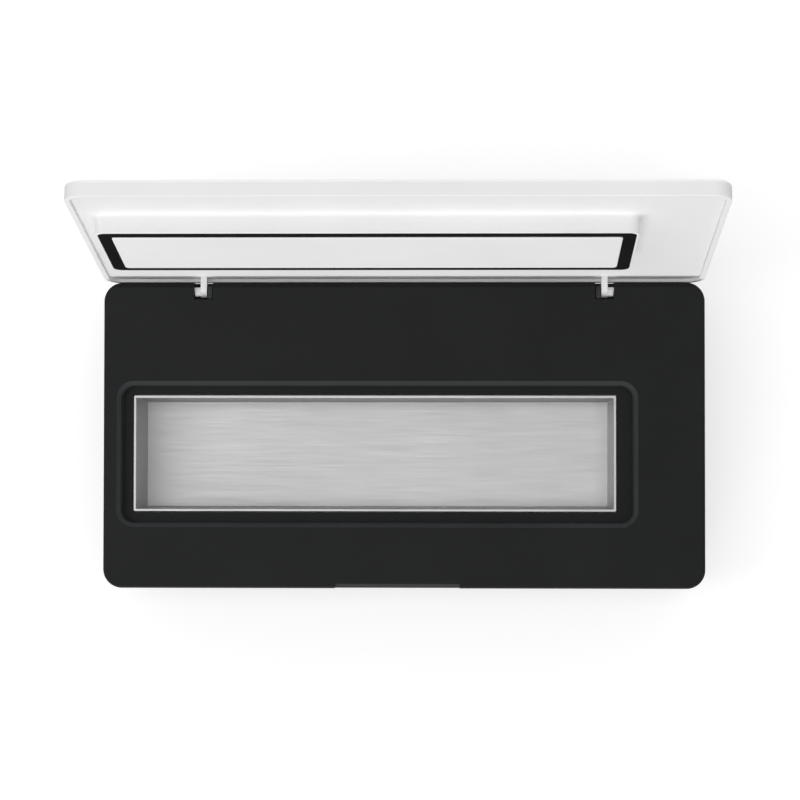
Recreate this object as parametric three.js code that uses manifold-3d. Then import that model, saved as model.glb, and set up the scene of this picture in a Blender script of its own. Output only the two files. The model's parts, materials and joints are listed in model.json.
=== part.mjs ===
// Insulin cooling case: a bench-top thermoelectric cooler with a lidded, metal-lined well for injection pens.
// Lengths are millimetres. +X is right, +Y is back towards the hinge and +Z is up.
// The origin is the middle of the base's footprint, on the plane that the feet stand on.
// The lid is drawn closed and then turned open about its hinge.
import * as THREE from 'three';
import { mergeVertices } from 'three/addons/utils/BufferGeometryUtils.js';
import Module from 'manifold-3d';

const wasm = await Module();
wasm.setup();

// Fits
const fitGap = 0.3;
const cutOverrun = 1;

// Case
const caseLength = 236;
const caseDepth = 120;
const deckHeight = 56;
const cornerRadius = 7.4;
const deckEdgeRadius = 1.2;
const baseEdgeRadius = 3;
const wallThickness = 2.4;
const deckThickness = 2.2;
const skirtDepth = 12;
const lipHeight = 2;

// Feet and case screws
const footHeight = 1.5;
const footRadius = 6;
const footSeatDepth = 0.6;
const footEdgeRadius = 0.8;
const footInset = 22;
const caseScrewInset = 9.5;
const caseScrewLength = 12;
const screwRadius = 1.25;
const screwHeadRadius = 2.4;
const screwHeadHeight = 1.5;
const caseBossHeight = 3;
const headSink = 1;
const pillarRadius = 3.6;

// Well and recess
const wellLeftMargin = 11.2;
const wellRightMargin = 34.4;
const wellFrontMargin = 30;
const wellRearMargin = 44.2;
const linerWall = 1;
const linerDraft = 0.7;
const linerCornerRadius = 0.3;
const linerOuterRadius = 0.6;
const recessDepth = 6;
const recessEndMargin = 5.5;
const recessSideMargin = 4.2;
const recessShiftX = 1.1;
const recessShiftY = -0.35;
const recessCornerRadius = 5.2;
const recessChamferWidth = 1.7;
const recessChamferDepth = 1.2;
const insulationThickness = 6;
const insulationFloorThickness = 8.3;
const ribHeight = 4;
const ribThickness = 2;
const ribEndInset = 25.4;
const ribCount = 3;

// Finger notch in the front edge of the deck
const fingerNotchLength = 49;
const fingerNotchCentreX = -2.5;
const fingerNotchInset = 1.8;
const fingerNotchHeight = 6;

// Lid
const lidThickness = 6.4;
const lidEdgeRadius = 1.5;
const rimWidth = 2;
const rimProud = 1.2;
const lidSkin = 1.6;
const lidLedge = 2;
const innerPanelThickness = 1.4;
const plinthLand = 0.7;
const plinthFlare = 0.3;
const plinthGap = 0.8;
const plinthWall = 2;
const plinthTipThickness = 2.8;
const gasketWidth = 4.7;
const gasketProud = 0.5;
const gasketEdgeRadius = 0.6;
const gasketCornerRadius = 3;
const sealPocketDepth = 1.5;
const centrePanelProud = 0.4;

// Hinge
const openAngleDegrees = 100.5;
const hingeInset = 3;
const hingeDrop = 3.5;
const hingeEndInset = 39.2;
const notchWidth = 7.4;
const notchDepth = 6.6;
const notchFloorGap = 0.6;
const pocketWall = 1.8;
const bearingWall = 2.5;
const armThickness = 2.4;
const knuckleRadius = 2.8;
const hingePinRadius = 1.3;
const rimSweepClearance = 0.15;
const retainerSink = 0.7;
const retainerRamp = 1.6;

// Closure magnets
const magnetRadius = 4;
const magnetInset = 9;
const magnetEndInset = 26;
const deckMagnetThickness = 2;
const magnetBossWall = 1.5;

// Cooling train
const coolerTopGap = 5.3;
const coolerFloorGap = 4.6;
const coldBlockSideMargin = 7;
const coldBlockProud = 0.5;
const peltierThickness = 3.6;
const peltierPlateThickness = 0.8;
const peltierCoreInset = 1;
const peltierMargin = 5;
const heatsinkOverhang = 1.5;
const heatsinkBase = 4;
const heatsinkFlank = 5.5;
const finCount = 13;
const finThickness = 0.8;
const clampScrewInset = 2.9;
const clampScrewLength = 12;

// Fan
const fanThickness = 10;
const fanCornerRadius = 2.5;
const fanWall = 1.5;
const fanScrewInset = 4;
const fanHubRadius = 10.5;
const bladeTipGap = 0.7;
const bladeCount = 7;
const bladeThickness = 0.9;
const bladeRootChord = 10;
const bladeTipChord = 12.5;
const bladeRootPitchDegrees = 46;
const bladeTipPitchDegrees = 27;
const bladeCamber = 0.9;
const statorThickness = 1.6;
const strutWidth = 2.4;
const strutCount = 4;
const shaftRadius = 1.2;

// Grilles
const grilleMargin = 3;
const intakeDepth = 25;
const grilleCornerRadius = 4;
const grilleFlangeWidth = 1.6;
const grilleFlangeThickness = 1.2;
const slotWidth = 2.6;
const slotPitch = 4.2;
const exhaustFieldMargin = 0.5;
const intakeEndMargin = 4;
const intakeSlotCount = 5;

// Battery
const cellRowCount = 2;
const cellColumnCount = 2;
const cellNubRadius = 2.8;
const cellNubHeight = 0.9;
const cellEdgeRadius = 0.8;
const holderWall = 1.6;
const holderBackWall = 1;
const holderTopGap = 4;
const contactThickness = 0.5;
const contactInset = 2;

// Display and buttons
const displayEndInset = 34;
const displaySeamInset = 14;
const displayLength = 36;
const displayHeight = 18;
const displayCornerRadius = 2;
const displayLedge = 1.5;
const windowThickness = 1.5;
const displayModuleMargin = 2;
const boardThickness = 1.6;
const boardEdgeMargin = 3;
const boardScrewRadius = 1;
const boardScrewLength = 5;
const boardScrewHeadRadius = 1.9;
const boardScrewHeadHeight = 1.2;
const boardBossRadius = 2.6;
const buttonDisplayGap = 1;
const buttonPitch = 10;
const buttonCount = 3;
const buttonRadius = 3.6;
const buttonProud = 0.8;
const buttonEdgeRadius = 0.4;
const buttonTravel = 0.6;
const buttonFlangeThickness = 0.9;
const buttonFlangeMargin = 0.9;
const switchSize = 6;
const switchEdgeMargin = 1.1;
const switchHeight = 3.4;
const plungerRadius = 1.7;
const plungerHeight = 0.8;

// Control board and charging socket
const controlBoardFoamGap = 2.5;
const controlBoardEdgeGap = 1.5;
const controlBoardFrontGap = 30.6;
const controlBoardRearGap = 14.6;
const boardStandHeight = 8;
const boardHoleInset = 4;
const socketLength = 7.5;
const socketWidth = 9;
const socketHeight = 3.2;
const socketShell = 0.35;
const socketCornerRadius = 1.25;
const socketRearInset = 15;
const socketSink = 0.5;
const tongueThickness = 0.7;
const coilRadius = 5;
const coilHeight = 6;
const capacitorRadius = 4;
const capacitorHeight = 11;
const controllerSize = 9;
const controllerHeight = 1.2;
const connectorLength = 6;
const connectorWidth = 6;
const connectorHeight = 5;
const connectorPitch = 8;

// Sensor and leads
const sensorRadius = 1.8;
const sensorLength = 8;
const sensorDrop = 20;
const leadRadius = 0.9;
const leadFloorClearance = 4;
const leadStraight = 3;

// Facets
const cornerSteps = 5;
const edgeSteps = 3;
const holeSides = 12;
const screwSides = 8;
const roundSides = 18;
const boreSides = 36;
const bladeSteps = 4;
const leadSteps = 14;

const quarterTurn = Math.PI / 2;
const fullTurn = Math.PI * 2;
const radians = THREE.MathUtils.degToRad;

const finishes = {
  blackPlastic: { color: '#252728', roughness: 0.6, metalness: 0 },
  whitePlastic: { color: '#ececec', roughness: 0.45, metalness: 0 },
  greyPlastic: { color: '#4a4c4e', roughness: 0.6, metalness: 0 },
  blackRubber: { color: '#1c1c1c', roughness: 0.85, metalness: 0 },
  bareAluminium: { color: '#c4c6c8', roughness: 0.35, metalness: 1 },
  darkAluminium: { color: '#6d7073', roughness: 0.5, metalness: 1 },
  steel: { color: '#a8a9ab', roughness: 0.35, metalness: 1 },
  nickel: { color: '#bfc0c0', roughness: 0.3, metalness: 1 },
  foam: { color: '#e9e9e4', roughness: 0.95, metalness: 0 },
  ceramic: { color: '#f1f1ee', roughness: 0.5, metalness: 0 },
  board: { color: '#1f5a3c', roughness: 0.5, metalness: 0 },
  wrap: { color: '#2c6fae', roughness: 0.4, metalness: 0 },
  glass: { color: '#0c0d0e', roughness: 0.1, metalness: 0 },
  lead: { color: '#a02820', roughness: 0.6, metalness: 0 },
};

// Levels from the deck down
const deckUnderside = deckHeight - deckThickness;
const recessFloorZ = deckHeight - recessDepth;
const recessUnderside = recessFloorZ - deckThickness;
const seamZ = deckHeight - skirtDepth;
const shellTopZ = seamZ - fitGap;
const shellFloorZ = footHeight + wallThickness;
const foamBottomZ = shellFloorZ + ribHeight + fitGap;
const linerFloorZ = foamBottomZ + insulationFloorThickness + fitGap + linerWall;
const linerDepth = recessFloorZ - linerFloorZ;
const sensorCentreZ = recessFloorZ - sensorDrop;
const lipInset = (wallThickness + fitGap) / 2;
const rabbetInset = (wallThickness - fitGap) / 2;

// Inner faces of the base's walls
const innerRightX = caseLength / 2 - wallThickness;
const innerFrontY = wallThickness - caseDepth / 2;
const innerRearY = caseDepth / 2 - wallThickness;

// Well, which takes the room inside its margins
const linerLength = caseLength - wellLeftMargin - wellRightMargin;
const linerWidth = caseDepth - wellFrontMargin - wellRearMargin;
const wellCentreX = (wellLeftMargin - wellRightMargin) / 2;
const wellCentreY = (wellFrontMargin - wellRearMargin) / 2;
const recessCentreX = wellCentreX + recessShiftX;
const recessCentreY = wellCentreY + recessShiftY;
const ribPitch = (linerLength - 2 * ribEndInset) / (ribCount - 1);

// Foam tub round the liner
const foamFrontY = wellCentreY - linerWidth / 2 - insulationThickness;
const foamRearY = wellCentreY + linerWidth / 2 + insulationThickness;
const foamRightX = wellCentreX + linerLength / 2 + insulationThickness;

// Levels of the closed lid
const rimZ = deckHeight + fitGap;
const lidTopZ = rimZ + lidThickness;
const panelZ = rimZ + rimProud;
const panelTopZ = panelZ + innerPanelThickness;
const lidCeilingZ = lidTopZ - lidSkin;
const plinthTipZ = recessFloorZ + plinthGap;
const gasketFaceZ = plinthTipZ - gasketProud;
const sealPocketZ = plinthTipZ + sealPocketDepth;

// Hinge axis and magnets
const hingeSpread = caseLength / 2 - hingeEndInset;
const magnetSpread = caseLength / 2 - magnetEndInset;
const hingeY = caseDepth / 2 - hingeInset;
const hingeZ = deckHeight - hingeDrop;
const armRearY = caseDepth / 2 - rimWidth - fitGap;
const notchFloorZ = hingeZ - knuckleRadius - notchFloorGap;
const sides = [-1, 1];
const sideNames = { '-1': 'left', 1: 'right' };

// Cooling train, which takes the height between the floor and the deck
const heatsinkRangeZ = [shellFloorZ + coolerFloorGap, deckUnderside - coolerTopGap];
const coolerCentreZ = middle(heatsinkRangeZ);
const heatsinkHeight = heatsinkRangeZ[1] - heatsinkRangeZ[0];
const peltierSize = heatsinkHeight - 2 * peltierMargin;
const coldBlockHeight = peltierSize;
const coldBlockLength = peltierSize + 2 * coldBlockSideMargin;
const heatsinkLength = coldBlockLength + 2 * heatsinkOverhang;
const finFieldLength = heatsinkLength - 2 * heatsinkFlank;
const fanSize = heatsinkHeight;
const fanBoreRadius = fanSize / 2 - fanWall;
const fanScrewPitch = fanSize - 2 * fanScrewInset;
const grilleSize = fanSize + 2 * grilleMargin;
const exhaustFieldRadius = fanBoreRadius + exhaustFieldMargin;
const intakeFieldLength = grilleSize - 2 * intakeEndMargin;

// Cooling train from the liner back to the rear wall
const coldBlockRearY = foamRearY + coldBlockProud;
const peltierFrontY = coldBlockRearY + fitGap;
const heatsinkFrontY = peltierFrontY + peltierThickness + fitGap;
const finRootY = heatsinkFrontY + heatsinkBase;
const fanRearY = innerRearY - fitGap - grilleFlangeThickness - fitGap;
const fanFrontY = fanRearY - fanThickness;
const finTipY = fanFrontY - fitGap;

// Display, which is placed from the right end and the seam
const displayCentreX = caseLength / 2 - displayEndInset;
const displayCentreZ = seamZ - displaySeamInset;

// Display board from the front wall back
const buttonFlangeY = innerFrontY + fitGap;
const plungerTipY = buttonFlangeY + buttonFlangeThickness + buttonTravel + fitGap;
const switchFrontY = plungerTipY + plungerHeight;
const displayBoardFrontY = switchFrontY + switchHeight;
const moduleLength = displayLength - 2 * displayLedge + 2 * displayModuleMargin;
const moduleHeight = displayHeight - 2 * displayLedge + 2 * displayModuleMargin;
const buttonFlangeRadius = buttonRadius + buttonFlangeMargin;
const lastButtonX = displayCentreX - moduleLength / 2 - buttonDisplayGap - buttonFlangeRadius;
const buttonXs = evenly(buttonCount, buttonPitch, lastButtonX - ((buttonCount - 1) / 2) * buttonPitch);
const displayBossReach = moduleHeight / 2 + fitGap + boardBossRadius;
const displayBoardHeight = 2 * (displayBossReach + boardBossRadius);

const pillarX = caseLength / 2 - caseScrewInset;
const pillarY = caseDepth / 2 - caseScrewInset;
const displayBoardLeftX = buttonXs[0] - switchSize / 2 - switchEdgeMargin;
const displayBoardRightX = pillarX - pillarRadius - fitGap;

// Battery holder between the front left pillar and the display board, filled with cells
const holderLeftX = fitGap + pillarRadius - pillarX;
const holderRightX = displayBoardLeftX - boardEdgeMargin;
const cellStartX = holderLeftX + holderWall + contactThickness + 2 * fitGap;
const cellEndX = holderRightX - holderWall - contactThickness - fitGap;
const cellPitchX = (cellEndX - cellStartX) / cellColumnCount;
const cellLength = cellPitchX - cellNubHeight - fitGap;
const holderFrontY = innerFrontY + fitGap;
const holderRearY = foamFrontY - fitGap;
const cellCentreY = (holderFrontY + holderRearY) / 2;
const holderBottomZ = shellFloorZ + fitGap;
const cellPocketRadius = Math.min(
  (holderRearY - holderFrontY) / 2 - holderBackWall,
  (recessUnderside - holderTopGap - holderBottomZ - holderWall) / 2 / cellRowCount,
);
const cellRadius = cellPocketRadius - fitGap;
const cellRowZ = Array.from({ length: cellRowCount }, (_, row) => (
  holderBottomZ + holderWall + cellPocketRadius * (1 + 2 * row)
));
const holderTopZ = cellRowZ[cellRowCount - 1] + cellPocketRadius;

// Control board in the room right of the foam
const controlBoardRightX = innerRightX - controlBoardEdgeGap;
const controlBoardWidth = controlBoardRightX - foamRightX - controlBoardFoamGap;
const controlBoardCentreX = controlBoardRightX - controlBoardWidth / 2;
const controlBoardZ = shellFloorZ + boardStandHeight + fitGap;
const controlBoardTopZ = controlBoardZ + boardThickness;
const controlBoardFrontY = innerFrontY + controlBoardFrontGap;
const controlBoardRearY = innerRearY - controlBoardRearGap;
const controlBoardCentreY = middle([controlBoardFrontY, controlBoardRearY]);
const socketCentreY = controlBoardRearY - socketRearInset;
const firstConnectorX = controlBoardRightX - controlBoardWidth + connectorWidth / 2;
const connectorXs = [firstConnectorX, firstConnectorX + connectorPitch];
const controlHoleX = controlBoardRightX - boardHoleInset;
const controlHoleYs = [controlBoardFrontY + boardHoleInset, controlBoardRearY - boardHoleInset];

function evenly(count, pitch, centre = 0) {
  return Array.from({ length: count }, (_, i) => centre + (i - (count - 1) / 2) * pitch);
}

function span(centre, size) {
  return [centre - size / 2, centre + size / 2];
}

function middle([low, high]) {
  return (low + high) / 2;
}

// Solids and meshes

function toSolid(geometry) {
  const bare = new THREE.BufferGeometry();
  bare.setAttribute('position', geometry.getAttribute('position'));
  bare.setIndex(geometry.index);
  const merged = mergeVertices(bare);
  const positions = merged.getAttribute('position');
  const corners = [0, 1, 2].map(() => new THREE.Vector3());
  const kept = [];
  let volume = 0;
  for (let i = 0; i < merged.index.count; i += 3) {
    const triangle = [0, 1, 2].map((k) => merged.index.getX(i + k));
    if (new Set(triangle).size === 3) {
      kept.push(triangle);
      corners.forEach((corner, k) => corner.fromBufferAttribute(positions, triangle[k]));
      volume += corners[0].dot(corners[1].clone().cross(corners[2]));
    }
  }
  const outward = volume > 0 ? kept : kept.map(([a, b, c]) => [a, c, b]);
  const triVerts = Uint32Array.from(outward.flat());
  return new wasm.Manifold(new wasm.Mesh({ numProp: 3, vertProperties: positions.array, triVerts }));
}

function toGeometry(body) {
  const mesh = body.getMesh();
  const geometry = new THREE.BufferGeometry();
  geometry.setAttribute('position', new THREE.BufferAttribute(mesh.vertProperties, 3));
  geometry.setIndex(new THREE.BufferAttribute(mesh.triVerts, 1));
  geometry.computeVertexNormals();
  return geometry;
}

function join(bodies) {
  return bodies.reduce((whole, body) => whole.add(body));
}

function cut(body, tools) {
  return tools.reduce((rest, tool) => rest.subtract(tool), body);
}

function place(parent, name, body, finish) {
  const mesh = new THREE.Mesh(toGeometry(body), new THREE.MeshStandardMaterial(finish));
  mesh.name = name;
  parent.add(mesh);
  return mesh;
}

// Stacks rings of points that all run the same way round, and closes both ends across the ring.
function loft(rings) {
  const count = rings[0].length;
  const top = (rings.length - 1) * count;
  const triangles = [];
  for (let level = 0; level < rings.length - 1; level += 1) {
    for (let i = 0; i < count; i += 1) {
      const a = level * count + i;
      const b = level * count + ((i + 1) % count);
      triangles.push(a, b, b + count, a, b + count, a + count);
    }
  }
  for (let i = 0; i < count / 2 - 1; i += 1) {
    const nextFar = count - 2 - i;
    const far = count - 1 - i;
    triangles.push(i, nextFar, i + 1, i, far, nextFar);
    triangles.push(top + i, top + i + 1, top + nextFar, top + i, top + nextFar, top + far);
  }
  const geometry = new THREE.BufferGeometry().setFromPoints(rings.flat());
  geometry.setIndex(triangles);
  return toSolid(geometry);
}

// A level ring with rounded corners.
function roundedRing(length, width, radius, z, centreX = 0, centreY = 0) {
  const corners = [[1, -1], [1, 1], [-1, 1], [-1, -1]];
  return corners.flatMap(([sideX, sideY], quarter) => {
    const x = centreX + sideX * (length / 2 - radius);
    const y = centreY + sideY * (width / 2 - radius);
    return Array.from({ length: cornerSteps + 1 }, (_, step) => {
      const angle = (quarter - 1 + step / cornerSteps) * quarterTurn;
      return new THREE.Vector3(x + radius * Math.cos(angle), y + radius * Math.sin(angle), z);
    });
  });
}

// A ring that follows the case's outline, drawn in by the inset.
function caseRing(inset, z) {
  return roundedRing(caseLength - 2 * inset, caseDepth - 2 * inset, cornerRadius - inset, z);
}

// Rings that round an edge from the flat face at faceZ to the wall, upwards or downwards.
function roundedEdgeRings(radius, faceZ, up) {
  const rings = Array.from({ length: edgeSteps + 1 }, (_, step) => {
    const angle = (step / edgeSteps) * quarterTurn;
    const rise = radius * (1 - Math.cos(angle));
    return caseRing(radius * (1 - Math.sin(angle)), faceZ + (up ? rise : -rise));
  });
  return up ? rings : rings.reverse();
}

function linerRing(growth, radius, z) {
  return roundedRing(linerLength + 2 * growth, linerWidth + 2 * growth, radius, z, wellCentreX, wellCentreY);
}

// A ring of the recess's upright side, moved outwards by the growth.
function recessRing(growth, z) {
  const length = linerLength + 2 * (recessEndMargin + growth);
  const width = linerWidth + 2 * (recessSideMargin + growth);
  return roundedRing(length, width, recessCornerRadius + growth, z, recessCentreX, recessCentreY);
}

function block(xs, ys, zs) {
  const geometry = new THREE.BoxGeometry(xs[1] - xs[0], ys[1] - ys[0], zs[1] - zs[0]);
  geometry.translate(middle(xs), middle(ys), middle(zs));
  return toSolid(geometry);
}

// Turns a shape drawn upright along +Y so that it stands along the axis, at the place given across it.
function alongAxis(geometry, axis, across) {
  if (axis === 'x') {
    geometry.rotateZ(-quarterTurn);
    geometry.translate(0, across[0], across[1]);
  } else if (axis === 'y') {
    geometry.translate(across[0], 0, across[1]);
  } else {
    geometry.rotateX(quarterTurn);
    geometry.translate(across[0], across[1], 0);
  }
  return geometry;
}

// A cylinder along the axis. The place across it is (y, z), (x, z) or (x, y).
function rod(axis, radius, range, across, sideCount = holeSides) {
  const geometry = new THREE.CylinderGeometry(radius, radius, range[1] - range[0], sideCount);
  geometry.translate(0, middle(range), 0);
  return toSolid(alongAxis(geometry, axis, across));
}

// A revolved profile of [radius, place along the axis] pairs that starts and ends on the axis.
function turned(axis, profile, across, sideCount = roundSides) {
  const points = profile.map(([radius, along]) => new THREE.Vector2(radius, along));
  return toSolid(alongAxis(new THREE.LatheGeometry(points, sideCount), axis, across));
}

// A screw whose head sits on the face at headFace and whose shaft runs towards the shaft end.
function screw(axis, headFace, shaftEnd, across, radius, headRadius, headHeight) {
  const headEnd = headFace + (shaftEnd > headFace ? -headHeight : headHeight);
  const profile = [[0, headEnd], [headRadius, headEnd], [headRadius, headFace], [radius, headFace],
    [radius, shaftEnd], [0, shaftEnd]];
  return turned(axis, profile, across, screwSides);
}

// An outline pushed along an axis. It is drawn in (y, z), (x, z) or (x, y).
function prism(shape, axis, [low, high]) {
  const geometry = new THREE.ExtrudeGeometry(shape, {
    depth: high - low,
    bevelEnabled: false,
    curveSegments: edgeSteps,
  });
  const x = new THREE.Vector3(1, 0, 0);
  const y = new THREE.Vector3(0, 1, 0);
  const z = new THREE.Vector3(0, 0, 1);
  const turn = new THREE.Matrix4();
  if (axis === 'x') {
    geometry.applyMatrix4(turn.makeBasis(y, z, x));
    geometry.translate(low, 0, 0);
  } else if (axis === 'y') {
    geometry.applyMatrix4(turn.makeBasis(x, z, y.negate()));
    geometry.translate(0, high, 0);
  } else {
    geometry.translate(0, 0, low);
  }
  return toSolid(geometry);
}

function roundedShape(length, width, radius, centreU = 0, centreV = 0) {
  const [left, right] = span(centreU, length - 2 * radius);
  const [bottom, top] = span(centreV, width - 2 * radius);
  const shape = new THREE.Shape();
  shape.absarc(right, bottom, radius, -quarterTurn, 0);
  shape.absarc(right, top, radius, 0, quarterTurn);
  shape.absarc(left, top, radius, quarterTurn, 2 * quarterTurn);
  shape.absarc(left, bottom, radius, 2 * quarterTurn, 3 * quarterTurn);
  shape.closePath();
  return shape;
}

function polygon(points) {
  return new THREE.Shape(points.map(([u, v]) => new THREE.Vector2(u, v)));
}

const model = new THREE.Group();
model.name = 'insulin_cooling_case';

// Lower half of the housing, with its bosses, posts and openings.
function baseShell() {
  const outside = loft([
    ...roundedEdgeRings(baseEdgeRadius, footHeight, true),
    caseRing(0, shellTopZ),
    caseRing(lipInset, shellTopZ),
    caseRing(lipInset, seamZ + lipHeight),
  ]);
  const inside = loft([caseRing(wallThickness, shellFloorZ), caseRing(wallThickness, deckHeight)]);
  const floorRange = [footHeight + wallThickness / 2, shellFloorZ];
  const raisedTo = (height) => [floorRange[0], shellFloorZ + height];
  const additions = [];
  const cutters = [];

  for (const at of pillarPlaces()) {
    additions.push(rod('z', pillarRadius, raisedTo(caseBossHeight), at));
    cutters.push(rod('z', screwHeadRadius + fitGap,
      [footHeight - cutOverrun, footHeight + headSink + screwHeadHeight + fitGap], at));
    cutters.push(rod('z', screwRadius + fitGap, [footHeight, deckHeight], at));
  }
  for (const x of evenly(ribCount, ribPitch, wellCentreX)) {
    additions.push(block(span(x, ribThickness), span(wellCentreY, linerWidth), raisedTo(ribHeight)));
  }
  for (const y of controlHoleYs) {
    additions.push(rod('z', boardBossRadius, raisedTo(boardStandHeight), [controlHoleX, y]));
    cutters.push(rod('z', boardScrewRadius + fitGap,
      [shellFloorZ, shellFloorZ + boardStandHeight + cutOverrun], [controlHoleX, y], screwSides));
  }
  for (const [x, z] of displayBoardHoles()) {
    const bossRange = [innerFrontY - wallThickness / 2, displayBoardFrontY - fitGap];
    additions.push(rod('y', boardBossRadius, bossRange, [x, z]));
    cutters.push(rod('y', boardScrewRadius + fitGap,
      [innerFrontY, displayBoardFrontY + cutOverrun], [x, z], screwSides));
  }
  for (const [x, y] of footPlaces()) {
    cutters.push(rod('z', footRadius + fitGap, [footHeight - cutOverrun, footHeight + footSeatDepth], [x, y],
      roundSides));
  }
  for (const x of buttonXs) {
    cutters.push(rod('y', buttonRadius + fitGap, frontWallRange(), [x, displayCentreZ], roundSides));
  }
  const windowHole = roundedShape(displayLength - 2 * displayLedge, displayHeight - 2 * displayLedge,
    displayCornerRadius, displayCentreX, displayCentreZ);
  const windowSeat = roundedShape(displayLength + 2 * fitGap, displayHeight + 2 * fitGap,
    displayCornerRadius + fitGap, displayCentreX, displayCentreZ);
  const seatRange = [-caseDepth / 2 - cutOverrun, windowThickness + fitGap - caseDepth / 2];
  const floorHole = roundedShape(grilleSize, intakeDepth, grilleCornerRadius, wellCentreX, intakeCentreY());
  const socketHole = roundedShape(socketWidth + 2 * fitGap, socketHeight + 2 * fitGap,
    socketCornerRadius + fitGap, socketCentreY, socketCentreZ());
  cutters.push(
    prism(windowHole, 'y', frontWallRange()),
    prism(windowSeat, 'y', seatRange),
    exhaustWindow(),
    prism(floorHole, 'z', [footHeight - cutOverrun, shellFloorZ + cutOverrun]),
    prism(socketHole, 'x', [innerRightX - cutOverrun, caseLength / 2 + cutOverrun]),
  );
  return cut(join([outside.subtract(inside), ...additions]), cutters);
}

// The hole for the exhaust grille, which both halves of the housing share.
function exhaustWindow() {
  return prism(roundedShape(grilleSize, grilleSize, grilleCornerRadius, wellCentreX, coolerCentreZ), 'y',
    [innerRearY - cutOverrun, caseDepth / 2 + cutOverrun]);
}

function frontWallRange() {
  return [-caseDepth / 2 - cutOverrun, innerFrontY + cutOverrun];
}

function pillarPlaces() {
  return [-pillarX, pillarX].flatMap((x) => [-pillarY, pillarY].map((y) => [x, y]));
}

function footPlaces() {
  const x = caseLength / 2 - footInset;
  const y = caseDepth / 2 - footInset;
  return [[-x, -y], [x, -y], [-x, y], [x, y]];
}

function displayBoardHoles() {
  return [
    [displayBoardLeftX + boardEdgeMargin, displayCentreZ - displayBossReach],
    [displayBoardRightX - boardEdgeMargin, displayCentreZ + displayBossReach],
  ];
}

function magnetPlace(side) {
  return [side * magnetSpread, magnetInset - caseDepth / 2];
}

function intakeCentreY() {
  return middle([heatsinkFrontY, finTipY]);
}

function socketCentreZ() {
  return controlBoardTopZ + fitGap + socketHeight / 2;
}

// Upper half of the housing: the deck, its skirt, the recess, the hinge pockets and the screw pillars.
function topDeck() {
  const outside = loft([
    caseRing(0, seamZ),
    ...roundedEdgeRings(deckEdgeRadius, deckHeight, false),
  ]);
  const inside = loft([
    caseRing(rabbetInset, seamZ - cutOverrun),
    caseRing(rabbetInset, seamZ + lipHeight + fitGap),
    caseRing(wallThickness, seamZ + lipHeight + fitGap),
    caseRing(wallThickness, deckUnderside),
  ]);
  const deckMiddleZ = middle([deckUnderside, deckHeight]);
  const additions = [
    loft([recessRing(deckThickness, recessUnderside), recessRing(deckThickness, deckMiddleZ)]),
  ];
  const cutters = [
    loft([
      recessRing(0, recessFloorZ),
      recessRing(0, deckHeight - recessChamferDepth),
      recessRing(recessChamferWidth, deckHeight),
      recessRing(recessChamferWidth, deckHeight + cutOverrun),
    ]),
    loft([
      linerRing(fitGap, linerOuterRadius + fitGap, linerFloorZ),
      linerRing(fitGap, linerOuterRadius + fitGap, deckHeight),
    ]),
    fingerNotch(),
    rearEdgeRelief(),
    exhaustWindow(),
  ];
  const pillarFoot = shellFloorZ + caseBossHeight + fitGap;
  for (const at of pillarPlaces()) {
    additions.push(rod('z', pillarRadius, [pillarFoot, deckMiddleZ], at));
    cutters.push(rod('z', screwRadius + fitGap,
      [pillarFoot - cutOverrun, pillarFoot + caseScrewLength], at, screwSides));
  }
  for (const side of sides) {
    const pocketX = [side * hingeSpread, side * hingeSpread];
    const outerWallX = side * (hingeSpread + notchWidth / 2);
    pocketX[side < 0 ? 0 : 1] = outerWallX + side * bearingWall;
    pocketX[side < 0 ? 1 : 0] = side * (hingeSpread - notchWidth / 2 - pocketWall);
    const frontY = caseDepth / 2 - notchDepth;
    additions.push(block(pocketX, [frontY - pocketWall, middle([innerRearY, caseDepth / 2])],
      [notchFloorZ - pocketWall, deckMiddleZ]));
    cutters.push(block(span(side * hingeSpread, notchWidth), [frontY, caseDepth / 2 + cutOverrun],
      [notchFloorZ, deckHeight + cutOverrun]));
    const bearing = [outerWallX - side * cutOverrun, outerWallX + side * (bearingWall + cutOverrun)];
    cutters.push(rod('x', hingePinRadius + fitGap, bearing.sort((a, b) => a - b), [hingeY, hingeZ]));
    const magnetAt = magnetPlace(side);
    const bossRadius = magnetRadius + fitGap + magnetBossWall;
    additions.push(rod('z', bossRadius, [deckUnderside - deckMagnetThickness, deckMiddleZ], magnetAt,
      roundSides));
    cutters.push(rod('z', magnetRadius + fitGap,
      [deckUnderside - deckMagnetThickness - cutOverrun, deckUnderside], magnetAt, roundSides));
  }
  return cut(join([outside.subtract(inside), ...additions]), cutters);
}

// A slanted scoop in the front edge for a fingertip under the lid.
function fingerNotch() {
  const front = -caseDepth / 2;
  const slope = fingerNotchInset / fingerNotchHeight;
  const wedge = polygon([
    [front + fingerNotchInset + slope * cutOverrun, deckHeight + cutOverrun],
    [front - cutOverrun, deckHeight + cutOverrun],
    [front - cutOverrun, deckHeight - fingerNotchHeight - cutOverrun / slope],
  ]);
  return prism(wedge, 'x', span(fingerNotchCentreX, fingerNotchLength));
}

// Rolls the deck's rear edge about the hinge axis so that the lid's rim clears it as it turns.
function rearEdgeRelief() {
  const xs = [-caseLength / 2 - cutOverrun, caseLength / 2 + cutOverrun];
  const corner = block(xs, [hingeY, caseDepth / 2 + cutOverrun], [hingeZ, deckHeight + cutOverrun]);
  return corner.subtract(rod('x', rimZ - hingeZ - rimSweepClearance, [xs[0] - cutOverrun, xs[1] + cutOverrun],
    [hingeY, hingeZ], boreSides));
}

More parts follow.
